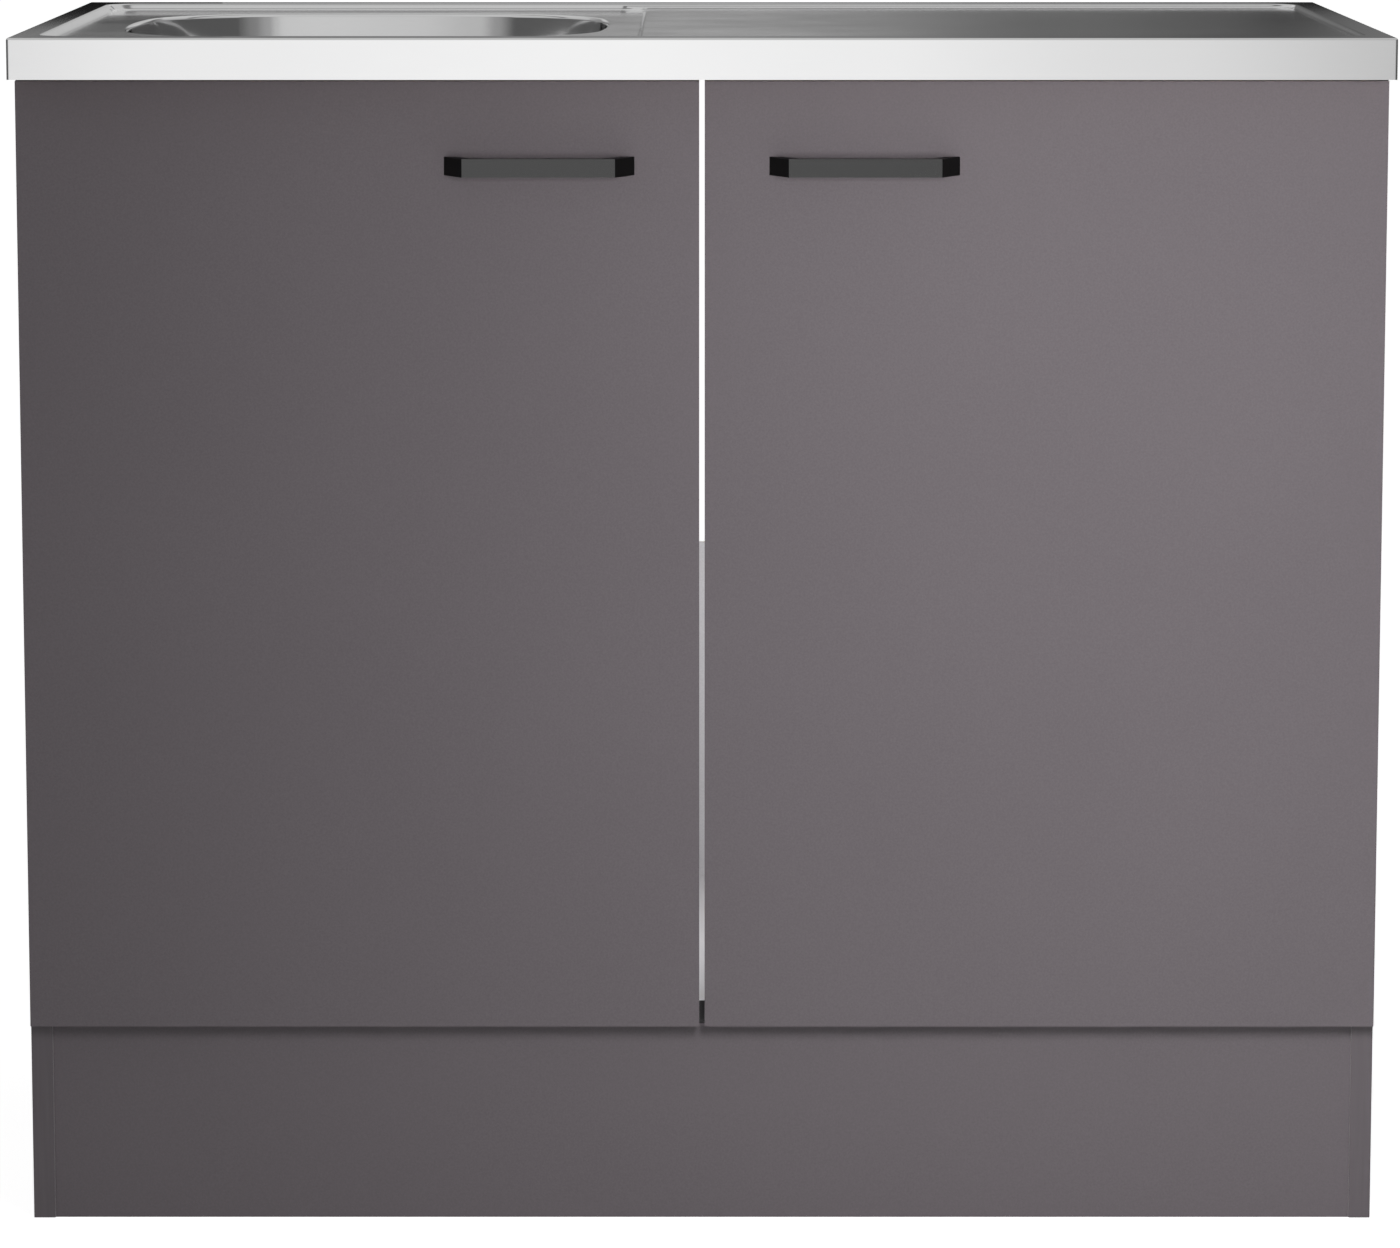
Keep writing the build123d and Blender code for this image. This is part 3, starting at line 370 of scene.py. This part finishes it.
def press_bowl(sheet, bowl, ring):
    """Adds the rolled edge, the tapered walls, the floor and the seat for the waste."""
    floor_drop = tray_level - bowl_floor
    corners = [(BOWL_FLANGE, tray_level), (0, tray_level), wall_drop(PATCH_DROPS[0]),
               wall_drop(PATCH_DROPS[1]), wall_drop(floor_drop), (-bowl_half_x / 2, bowl_floor)]
    section = bent_profile(corners, (BOWL_ROLL, 0, 0, BOWL_FLOOR_RADIUS), BOWL_BEND_STEPS)
    patch_top = tray_level - PATCH_DROPS[0] + TOUCH
    upper_row = next(row for row, part in enumerate(section) if part[1] <= patch_top)
    rear_middle = len(bowl.spokes) // 4
    columns = range(rear_middle - PATCH_COLUMNS, rear_middle + PATCH_COLUMNS + 1)
    for row, part in enumerate(section[1:-1], start=1):
        after = sheet.add_ring(bowl.ring(*part))
        if row == upper_row + 1:
            sheet.bridge(ring, after, gap=columns[:-1])
            press_overflow_hole(sheet, ring, after, columns)
        else:
            sheet.bridge(ring, after)
        ring = after

    inner = [sheet.points[point] for point in ring]
    waste = Outline([(bowl_x, 0, 0, math.atan2(point.y, point.x - bowl_x)) for point in inner])
    corners = [(WASTE_RECESS_RADIUS + 2 * PRESS_BEND, bowl_floor), (WASTE_RECESS_RADIUS, bowl_floor),
               (WASTE_RECESS_RADIUS - PRESS_BEND, waste_seat), (WASTE_HOLE_RADIUS, waste_seat)]
    for part in bent_profile(corners, (PRESS_BEND, PRESS_BEND), PRESS_BEND_STEPS):
        after = sheet.add_ring(waste.ring(*part))
        sheet.bridge(ring, after)
        ring = after


def sink_top():
    """Deck and bowl as the one polished sheet that they look like."""
    sheet = Sheet()
    bowl = bowl_outline()
    ring = press_deck(sheet, bowl)
    press_bowl(sheet, bowl, ring)
    piece = sheet.build("sink_top")
    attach(piece, "root")
    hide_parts("sink_deck", "sink_bowl")
    return piece


# ---------------------------------------------------------------- materials
RIM_POLISH_STARTS = 0.4 * MM
RIM_POLISH_FULL = 0.1 * MM


def feed(tree, socket, value):
    """Links a socket to another node's output, or sets it to a plain value."""
    if isinstance(value, bpy.types.NodeSocket):
        tree.links.new(value, socket)
    else:
        socket.default_value = value


def add_node(tree, kind, **sockets):
    """A shader node; a socket's name has underscores for spaces."""
    made = tree.nodes.new("ShaderNode" + kind)
    for name, value in sockets.items():
        feed(tree, made.inputs[name.replace("_", " ")], value)
    return made


def maths(tree, operation, first, second):
    """The result of an operation on two numbers."""
    made = add_node(tree, "Math")
    made.operation = operation
    feed(tree, made.inputs[0], first)
    feed(tree, made.inputs[1], second)
    return made.outputs[0]


def new_material(name, **sockets):
    """A material with one Principled shader; gives back the material, its tree and the shader."""
    material = bpy.data.materials.new(name)
    material.use_nodes = True
    tree = material.node_tree
    shader = tree.nodes["Principled BSDF"]
    for socket, value in sockets.items():
        shader.inputs[socket.replace("_", " ")].default_value = value
    return material, tree, shader


def place_on(tree, stretch=(1, 1, 1)):
    """The point on the piece in metres, stretched for a grain."""
    coordinates = add_node(tree, "TexCoord").outputs["Object"]
    return add_node(tree, "Mapping", Vector=coordinates, Scale=stretch).outputs["Vector"]


def noise(tree, scale, detail=2.0, stretch=(1, 1, 1), roughness=0.5):
    """A noise value from 0 to 1 whose grains are about 1 / scale metres wide."""
    return add_node(tree, "TexNoise", Vector=place_on(tree, stretch), Scale=scale, Detail=detail,
                    Roughness=roughness).outputs["Fac"]


def between(tree, value, low, high):
    """Maps a noise's usual spread onto a range of numbers."""
    return add_node(tree, "MapRange", Value=value, From_Min=0.3, From_Max=0.7, To_Min=low,
                    To_Max=high).outputs["Result"]


def blend_colours(tree, share, first, second):
    """A colour between two others."""
    mix = add_node(tree, "Mix")
    mix.data_type = "RGBA"
    factor, colour_a, colour_b = mix.inputs[0], mix.inputs[6], mix.inputs[7]
    feed(tree, factor, share)
    feed(tree, colour_a, first)
    feed(tree, colour_b, second)
    return mix.outputs[2]


def colour(red, green, blue):
    """A linear colour with no transparency."""
    return (red, green, blue, 1.0)


def grey(tone):
    """A neutral colour."""
    return colour(tone, tone, tone)


def paint(tree, shader, share, dark, light):
    """Gives a shader a colour that runs from dark to light."""
    feed(tree, shader.inputs["Base Color"], blend_colours(tree, share, dark, light))


def roughen(tree, shader, pattern, low, high):
    """Gives a shader a roughness that follows a noise."""
    feed(tree, shader.inputs["Roughness"], between(tree, pattern, low, high))


def bump(tree, shader, height, depth):
    """Raises the surface by a depth in metres."""
    made = add_node(tree, "Bump", Height=height, Distance=depth)
    feed(tree, shader.inputs["Normal"], made.outputs["Normal"])


def melamine(name, dark, light, stipple_depth, roughness, specular=0.5):
    """A melamine-faced board: a printed speckle under a finely stippled, matt surface."""
    material, tree, shader = new_material(name, Specular_IOR_Level=specular)
    speckle = noise(tree, 700, 3.0, roughness=0.7)
    clouds = between(tree, noise(tree, 5, 2.0), -0.08, 0.08)
    paint(tree, shader, maths(tree, "ADD", clouds, between(tree, speckle, 0, 1)), dark, light)
    roughen(tree, shader, speckle, roughness - 0.05, roughness + 0.05)
    bump(tree, shader, speckle, stipple_depth)
    return material


def edging(name, dark, light):
    """Plastic edging: smoother than the board, with faint lengthwise drawing lines."""
    material, tree, shader = new_material(name, Specular_IOR_Level=0.3)
    drawn = noise(tree, 300, 2.0, stretch=(1, 1, 0.05))
    paint(tree, shader, between(tree, drawn, 0, 1), dark, light)
    roughen(tree, shader, drawn, 0.32, 0.42)
    bump(tree, shader, drawn, 0.02 * MM)
    return material


def chipboard():
    """Raw chipboard: pressed chips of light and dark wood."""
    material, tree, shader = new_material("raw_chipboard_chips", Roughness=0.85)
    chips = add_node(tree, "TexVoronoi", Vector=place_on(tree, (1, 0.6, 1.6)), Scale=320)
    tone = add_node(tree, "SeparateColor", Color=chips.outputs["Color"]).outputs["Red"]
    wood = blend_colours(tree, tone, colour(0.33, 0.21, 0.115), colour(0.62, 0.45, 0.27))
    dust = between(tree, noise(tree, 1400, 2.0), 0, 0.5)
    paint(tree, shader, dust, wood, colour(0.47, 0.33, 0.19))
    bump(tree, shader, tone, 0.12 * MM)
    return material


def hardboard():
    """The raw rear face of a thin fibreboard."""
    material, tree, shader = new_material("hardboard_fibre", Roughness=0.75)
    fibre = noise(tree, 600, 4.0, stretch=(1, 1, 2.5), roughness=0.7)
    share = between(tree, fibre, 0, 1)
    paint(tree, shader, share, colour(0.20, 0.12, 0.065), colour(0.31, 0.20, 0.115))
    bump(tree, shader, fibre, 0.06 * MM)
    return material


def stainless(name, tone, gloss, grain_depth, rim_gloss=None):
    """Brushed sheet: a fine grain along the unit's length over a satin polish, brighter on the rim."""
    material, tree, shader = new_material(name, Metallic=1.0)
    grain = noise(tree, 60, 4.0, stretch=(0.35, 30, 30), roughness=0.65)
    wear = noise(tree, 9, 3.0)
    in_grain = colour(tone * 0.97, tone * 0.97, tone * 0.975)
    paint(tree, shader, between(tree, grain, 0, 1), in_grain, grey(tone))
    satin = maths(tree, "ADD", between(tree, grain, gloss - 0.03, gloss + 0.03),
                  between(tree, wear, -0.02, 0.02))
    if rim_gloss is not None:
        height = add_node(tree, "SeparateXYZ", Vector=place_on(tree)).outputs["Z"]
        satin = add_node(tree, "MapRange", Value=height, From_Min=deck_top - RIM_POLISH_STARTS,
                         From_Max=deck_top - RIM_POLISH_FULL, To_Min=satin,
                         To_Max=rim_gloss).outputs["Result"]
    feed(tree, shader.inputs["Roughness"], satin)
    bump(tree, shader, grain, grain_depth)
    return material


def plated(name, dark, light, gloss, grain):
    """Plated steel with the plating's cloudy tone."""
    material, tree, shader = new_material(name, Metallic=1.0)
    clouds = noise(tree, grain, 3.0)
    paint(tree, shader, between(tree, clouds, 0, 1), dark, light)
    roughen(tree, shader, clouds, gloss - 0.05, gloss + 0.05)
    bump(tree, shader, noise(tree, 2500, 2.0), 0.01 * MM)
    return material


def moulded(name, dark, light, roughness, grain_depth=0.02 * MM, **sockets):
    """Moulded plastic or rubber with a faint grain."""
    material, tree, shader = new_material(name, **sockets)
    clouds = noise(tree, 60, 3.0)
    paint(tree, shader, between(tree, clouds, 0, 1), dark, light)
    roughen(tree, shader, clouds, roughness - 0.04, roughness + 0.04)
    bump(tree, shader, noise(tree, 1800, 2.0), grain_depth)
    return material


def black_coat(name, smoothest, roughest, **sockets):
    """The handles' black coat, with its fine orange peel."""
    material, tree, shader = new_material(name, **sockets)
    peel = noise(tree, 900, 2.0)
    paint(tree, shader, between(tree, peel, 0, 1), grey(0.002), grey(0.004))
    roughen(tree, shader, peel, smoothest, roughest)
    bump(tree, shader, peel, 0.012 * MM)
    return material


def beech():
    """Turned hardwood with a grain along the dowel."""
    material, tree, shader = new_material("beech_grain", Roughness=0.6)
    grain = noise(tree, 700, 3.0, stretch=(0.08, 1, 1), roughness=0.6)
    share = between(tree, grain, 0, 1)
    paint(tree, shader, share, colour(0.47, 0.30, 0.165), colour(0.66, 0.47, 0.29))
    bump(tree, shader, grain, 0.05 * MM)
    return material


anthracite = melamine("anthracite_melamine", colour(0.107, 0.093, 0.102), colour(0.128, 0.112, 0.122),
                      0.03 * MM, 0.5, specular=0.3)
anthracite_edging = edging("anthracite_edging", colour(0.094, 0.081, 0.089),
                           colour(0.108, 0.094, 0.103))
pale_melamine = melamine("pale_melamine", colour(0.47, 0.46, 0.475), colour(0.54, 0.53, 0.545),
                         0.02 * MM, 0.42)
raw_board = chipboard()
raw_hardboard = hardboard()
# Near-black edging for the bottom panel's front: the shade in the door gap painted into its colour.
painted_shade_edging = edging("painted_shade_edging", colour(0.028, 0.026, 0.028), colour(0.036, 0.034, 0.036))
polished_sheet = stainless("stainless_sheet", 0.90, 0.09, 0.0006 * MM, rim_gloss=0.04)
handle_face = black_coat("satin_black_coat", 0.16, 0.22, IOR=1.75)

SLOT_FINISHES = {
    "anthracite_board": anthracite,
    "back_board": pale_melamine,
    "raw_chipboard": raw_board,
    "stainless": stainless("stainless_pressing", 0.72, 0.2, 0.004 * MM),
    # the handles' legs, top, bottom and back: a duller, less reflective copy of the same black coat,
    # painted shade that keeps them near black
    "handle_black": black_coat("black_coat_painted_shade", 0.45, 0.55, Specular_IOR_Level=0.1),
    "zinc": plated("zinc_plating", colour(0.50, 0.51, 0.52), colour(0.66, 0.66, 0.64), 0.34, 120),
    "nickel": plated("nickel_plating", colour(0.60, 0.585, 0.55), colour(0.70, 0.68, 0.64), 0.2, 90),
    "die_cast": plated("zinc_casting", colour(0.40, 0.40, 0.41), colour(0.52, 0.52, 0.53), 0.45, 500),
    "beech": beech(),
    "clear_rubber": moulded("clear_soft_disc", colour(0.62, 0.62, 0.61), colour(0.72, 0.72, 0.71),
                            0.35, Transmission_Weight=0.4),
    "grey_rubber": moulded("sealing_rubber", colour(0.035, 0.035, 0.036), colour(0.06, 0.06, 0.062),
                           0.6, 0.05 * MM),
    "white_plastic": moulded("white_polypropylene", colour(0.56, 0.56, 0.545),
                             colour(0.62, 0.62, 0.605), 0.38, Subsurface_Weight=0.1,
                             Subsurface_Scale=0.003),
    "grey_plastic": moulded("grey_polypropylene", colour(0.30, 0.30, 0.31),
                            colour(0.38, 0.38, 0.39), 0.4),
}

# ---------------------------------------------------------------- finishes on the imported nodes
BOARD_BEVEL = 0.5 * MM
METAL_BEVEL = 0.25 * MM
FINE_BEVEL = 0.12 * MM
SHARP_ANGLE = math.radians(32)
FLUSH = 0.1 * MM
SQUARE_ON = 0.99
X, Y, Z = 0, 1, 2


def soften(node, width):
    """Rounds a node's sharp edges a little, as every real edge is."""
    weld = node.modifiers.new("weld", "WELD")
    weld.merge_threshold = TOUCH
    bevel = node.modifiers.new("edges", "BEVEL")
    bevel.width = width
    bevel.segments = 2
    bevel.limit_method = "ANGLE"
    bevel.angle_limit = SHARP_ANGLE
    shading = node.modifiers.new("shading", "WEIGHTED_NORMAL")
    shading.keep_sharp = True


def finish_board(node, core, skins):
    """Gives a node's outer faces their skins; holes, grooves and other faces show the core."""
    low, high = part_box(node.name)
    materials = [core] + [material for _, _, material in skins]
    node.data.materials.clear()
    for material in materials:
        node.data.materials.append(material)
    for face in node.data.polygons:
        face.material_index = 0
        for index, (axis, side, _) in enumerate(skins, start=1):
            limit = high[axis] if side > 0 else low[axis]
            square_on = face.normal[axis] * side > SQUARE_ON
            if square_on and abs(face.center[axis] - limit) < FLUSH:
                face.material_index = index


def finish_boards(nodes):
    """Two-tone boards whose bottom front edge is painted near black as shade, doors in one colour all
    round, the fibreboard back and the handles, whose sides get a duller coat as painted shade.
    """
    for name, side in (("left_side_panel", -1), ("right_side_panel", 1)):
        skins = ((X, side, anthracite), (X, -side, pale_melamine), (Y, -1, anthracite_edging))
        finish_board(nodes[name], raw_board, skins)
    # The bottom panel's front edge gets the near-black edging, painted shade from the door gap.
    finish_board(nodes["bottom_panel"], raw_board,
                 ((Z, 1, pale_melamine), (Z, -1, pale_melamine), (Y, -1, painted_shade_edging)))
    finish_board(nodes["plinth_panel"], raw_board,
                 ((Y, -1, anthracite), (Y, 1, anthracite), (Z, 1, anthracite_edging)))
    for name in ("left_door", "right_door"):
        edges = [(axis, side, anthracite_edging) for axis in (X, Z) for side in (-1, 1)]
        finish_board(nodes[name], raw_board, [(Y, -1, anthracite), (Y, 1, anthracite)] + edges)
    finish_board(nodes["back_panel"], raw_hardboard, ((Y, -1, pale_melamine),))
    # The handles' front faces get the glossier coat; their other faces keep the duller copy of it,
    # painted shade.
    for name in ("left_handle", "right_handle"):
        finish_board(nodes[name], SLOT_FINISHES["handle_black"], ((Y, -1, handle_face),))


def finish_nodes(nodes):
    """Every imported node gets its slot's finish and, unless it is screws, softened edges."""
    bevels = {"anthracite_board": BOARD_BEVEL, "raw_chipboard": BOARD_BEVEL, "back_board": FINE_BEVEL,
              "handle_black": METAL_BEVEL, "zinc": FINE_BEVEL, "nickel": FINE_BEVEL,
              "stainless": FINE_BEVEL, "beech": METAL_BEVEL}
    for name in sorted(nodes):
        node = nodes[name]
        slot = node.material_slots[0].material.name.split(".")[0]
        node.data.materials[0] = SLOT_FINISHES[slot]
        if not name.endswith("screws"):
            soften(node, bevels.get(slot, METAL_BEVEL))
    finish_boards(nodes)


# ---------------------------------------------------------------- studio
AMBIENT = 0.2
FLOOR_HALF = 40.0
FLOOR_ALBEDO = 0.8
FLOOR_SPECKLE = 0.98
FLOOR_GLOW = 0.87

CAMERA_DISTANCE = 4.6
CAMERA_HEIGHT = 1.0931
CAMERA_AIM = (-0.0014, -0.3, 0.4578)
CAMERA_LENS = 153.47

CARD_HEIGHT = 2.4
CARD_HALF = 3.0
GLOW_PLACE = 2.95
FLAG_PLACE = 2.9
LEFT_FLAG_EDGE, LEFT_FLAG_TOP = -0.6, 1.022
RIGHT_FLAG_EDGE, RIGHT_FLAG_TOP = 0.65, 1.004

# A card's tones are (place along it, brightness), and its rise is (height on it, share of the tone).
BACK_TONES = ((-3.0, 0.30), (-1.2, 0.30), (-0.85, 0.30), (-0.6, 0.26), (-0.2, 0.30), (0.0, 0.36),
              (0.2, 0.31), (0.45, 0.19), (0.72, 0.13), (0.88, 0.24), (1.2, 0.24), (3.0, 0.24))
BACK_RISE = ((0.0, 0.65), (1.3, 0.65), (2.4, 1.2))
GLOW_TONES = ((-3.0, 0.08), (-0.78, 0.08), (-0.6, 0.34), (-0.2, 0.4), (0.0, 0.4), (0.35, 0.02),
              (3.0, 0.1))
GLOW_RISE = ((0.0, 0.0), (1.04, 0.0), (1.12, 1.0), (1.3, 0.8), (2.4, 0.8))
BLACK_TONES = ((-3.0, 0.004), (3.0, 0.004))
FADING_TONES = ((-3.0, 0.088), (RIGHT_FLAG_EDGE, 0.088), (0.74, 0.004), (3.0, 0.004))
FRONT_TONES = ((-3.0, 0.2), (-1.8, 0.5), (-0.9, 0.79), (-0.6, 0.94), (-0.1, 1.0), (0.2, 0.95),
               (0.5, 0.81), (0.9, 0.56), (1.8, 0.35), (3.0, 0.2))
FRONT_RISE = ((0.0, 1.0), (0.85, 1.0), (1.15, 0.62), (2.4, 0.55))
LEFT_TONES = ((-3.0, 0.5), (3.0, 0.42))
RIGHT_TONES = ((-3.0, 0.4), (3.0, 0.42))
SIDE_RISE = ((0.0, 0.22), (1.35, 0.22), (1.7, 1.0), (2.4, 1.0))
CEILING_TONES = ((-3.0, 0.5), (-0.5, 0.58), (0.5, 0.58), (3.0, 0.4))
CEILING_RISE = ((0.0, 1.0), (3.5, 1.0), (3.58, 0.35), (3.8, 0.35), (4.1, 1.0), (6.0, 1.0))
EVEN_RISE = ((0.0, 1.0), (1.0, 1.0))


def direct_rays(tree):
    """One for the rays that show the background: camera, glossy and transmission rays."""
    rays = add_node(tree, "LightPath").outputs
    seen = maths(tree, "MAXIMUM", rays["Is Camera Ray"], rays["Is Glossy Ray"])
    return maths(tree, "MAXIMUM", seen, rays["Is Transmission Ray"])


def add_shaders(tree, first, second):
    """The sum of two shaders."""
    both = add_node(tree, "AddShader")
    feed(tree, both.inputs[0], first)
    feed(tree, both.inputs[1], second)
    return both.outputs[0]


def make_world():
    """A white backdrop to the eye and in reflections, and a plain soft light on the rest."""
    world = bpy.data.worlds.new("studio")
    world.use_nodes = True
    tree = world.node_tree
    tree.nodes.clear()
    ambient = add_node(tree, "Background", Color=grey(1.0), Strength=AMBIENT)
    white = add_node(tree, "Background", Color=grey(1.0), Strength=1.0)
    mix = add_node(tree, "MixShader", Fac=direct_rays(tree))
    feed(tree, mix.inputs[1], ambient.outputs[0])
    feed(tree, mix.inputs[2], white.outputs[0])
    add_node(tree, "OutputWorld", Surface=mix.outputs[0])
    bpy.context.scene.world = world


def make_floor():
    """A pale floor that stays white to the eye except in the unit's own shadow."""
    mesh = bpy.data.meshes.new("floor")
    corners = [(x * FLOOR_HALF, y * FLOOR_HALF, 0) for x, y in ((-1, -1), (1, -1), (1, 1), (-1, 1))]
    mesh.from_pydata(corners, [], [(0, 1, 2, 3)])
    material, tree, shader = new_material("pale_floor", Roughness=0.9, Specular_IOR_Level=0.0)
    speckle = between(tree, noise(tree, 40, 3.0), 0, 1)
    paint(tree, shader, speckle, grey(FLOOR_ALBEDO), grey(FLOOR_SPECKLE * FLOOR_ALBEDO))
    strength = maths(tree, "MULTIPLY", direct_rays(tree), FLOOR_GLOW)
    glow = add_node(tree, "Emission", Strength=strength)
    both = add_shaders(tree, shader.outputs[0], glow.outputs[0])
    feed(tree, tree.nodes["Material Output"].inputs["Surface"], both)
    mesh.materials.append(material)
    floor = bpy.data.objects.new("floor", mesh)
    bpy.context.scene.collection.objects.link(floor)


def tone_ramp(tree, value, low, high, tones):
    """A tone read from stops between a low and a high place."""
    share = add_node(tree, "MapRange", Value=value, From_Min=low, From_Max=high)
    made = add_node(tree, "ValToRGB", Fac=share.outputs["Result"])
    made.color_ramp.interpolation = "EASE"
    stops = made.color_ramp.elements
    while len(stops) < len(tones):
        stops.new(1.0)
    for stop, (place, tone) in zip(stops, tones):
        stop.position = (place - low) / (high - low)
        stop.color = grey(tone)
    return made.outputs["Color"]


def card_material(name, tones, rise, height):
    """A glow that runs through tones along the card and through shares up the card."""
    material = bpy.data.materials.new(name)
    material.use_nodes = True
    tree = material.node_tree
    tree.nodes.clear()
    place = add_node(tree, "SeparateXYZ", Vector=add_node(tree, "TexCoord").outputs["Object"]).outputs
    along = tone_ramp(tree, place["X"], -CARD_HALF, CARD_HALF, tones)
    upward = tone_ramp(tree, place["Z"], 0, height, rise)
    glow = add_node(tree, "Emission", Color=along, Strength=upward)
    add_node(tree, "OutputMaterial", Surface=glow.outputs[0])
    return material


def let_through(material):
    """Adds a card's glow to what lies behind it."""
    tree = material.node_tree
    clear = add_node(tree, "BsdfTransparent").outputs[0]
    both = add_shaders(tree, tree.nodes["Emission"].outputs[0], clear)
    feed(tree, tree.nodes["Material Output"].inputs["Surface"], both)


def add_card(name, middle, turn, tones, rise=EVEN_RISE, left=-CARD_HALF, right=CARD_HALF,
             height=CARD_HEIGHT):
    """An upright card that only reflections show, turned about its middle on the floor."""
    mesh = bpy.data.meshes.new(name)
    corners = [(left, 0, 0), (right, 0, 0), (right, 0, height), (left, 0, height)]
    mesh.from_pydata(corners, [], [(0, 1, 2, 3)])
    mesh.materials.append(card_material(name, tones, rise, height))
    card = bpy.data.objects.new(name, mesh)
    card.location = (*middle, 0)
    card.rotation_euler = (0, 0, math.radians(turn))
    card.visible_camera = False
    card.visible_diffuse = False
    card.visible_transmission = False
    card.visible_shadow = False
    bpy.context.scene.collection.objects.link(card)
    return card


def make_cards():
    """Grey cards round the unit, which give polished steel its light and dark parts."""
    add_card("back_card", (0, CARD_HALF), 0, BACK_TONES, BACK_RISE)
    glow = add_card("back_glow", (0, GLOW_PLACE), 0, GLOW_TONES, GLOW_RISE)
    let_through(glow.data.materials[0])
    add_card("left_flag", (0, FLAG_PLACE), 0, BLACK_TONES, right=LEFT_FLAG_EDGE, height=LEFT_FLAG_TOP)
    add_card("right_flag", (0, FLAG_PLACE), 0, FADING_TONES, left=RIGHT_FLAG_EDGE,
             height=RIGHT_FLAG_TOP)
    add_card("front_card", (0, -CARD_HALF), 0, FRONT_TONES, FRONT_RISE)
    add_card("left_card", (-CARD_HALF, 0), -90, LEFT_TONES, SIDE_RISE)
    add_card("right_card", (CARD_HALF, 0), -90, RIGHT_TONES, SIDE_RISE)
    ceiling = add_card("ceiling_card", (0, -CARD_HALF), 0, CEILING_TONES, CEILING_RISE,
                       height=2 * CARD_HALF)
    ceiling.location.z = CARD_HEIGHT
    ceiling.rotation_euler = (math.radians(-90), 0, 0)


def add_light(name, place, aim, size, power):
    """A soft square lamp that faces a point."""
    lamp = bpy.data.lights.new(name, "AREA")
    lamp.size = size
    lamp.energy = power
    made = bpy.data.objects.new(name, lamp)
    made.location = place
    made.rotation_euler = (Vector(aim) - Vector(place)).to_track_quat("-Z", "Y").to_euler()
    made.visible_camera = False
    made.visible_glossy = False
    bpy.context.scene.collection.objects.link(made)


def make_lights():
    """A soft key in front on the right, a weak fill from the left and a small lamp in the cupboard."""
    add_light("key", (0.25, -1.4, 0.8), (1.0, -0.26, 0.6), 0.4, 17.5)
    add_light("fill", (-2.2, -1.6, 1.8), (-0.3, 0, 0.5), 1.6, 3)
    add_light("cupboard_lamp", (0.1, -0.08, 0.5), (0, 0.14, 0.166), 0.2, 1.5)


def make_camera():
    """A long lens in front of the unit, a little above its top and aimed at its middle."""
    data = bpy.data.cameras.new("camera")
    data.lens = CAMERA_LENS
    camera = bpy.data.objects.new("camera", data)
    camera.location = (0, -CAMERA_DISTANCE, CAMERA_HEIGHT)
    aim = Vector(CAMERA_AIM) - camera.location
    camera.rotation_euler = aim.to_track_quat("-Z", "Y").to_euler()
    bpy.context.scene.collection.objects.link(camera)
    bpy.context.scene.camera = camera


# ---------------------------------------------------------------- the scene
finish_nodes(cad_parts)
sink_top().data.materials.append(polished_sheet)
make_world()
make_floor()
make_cards()
make_lights()
make_camera()
bpy.context.scene.view_settings.view_transform = "Standard"
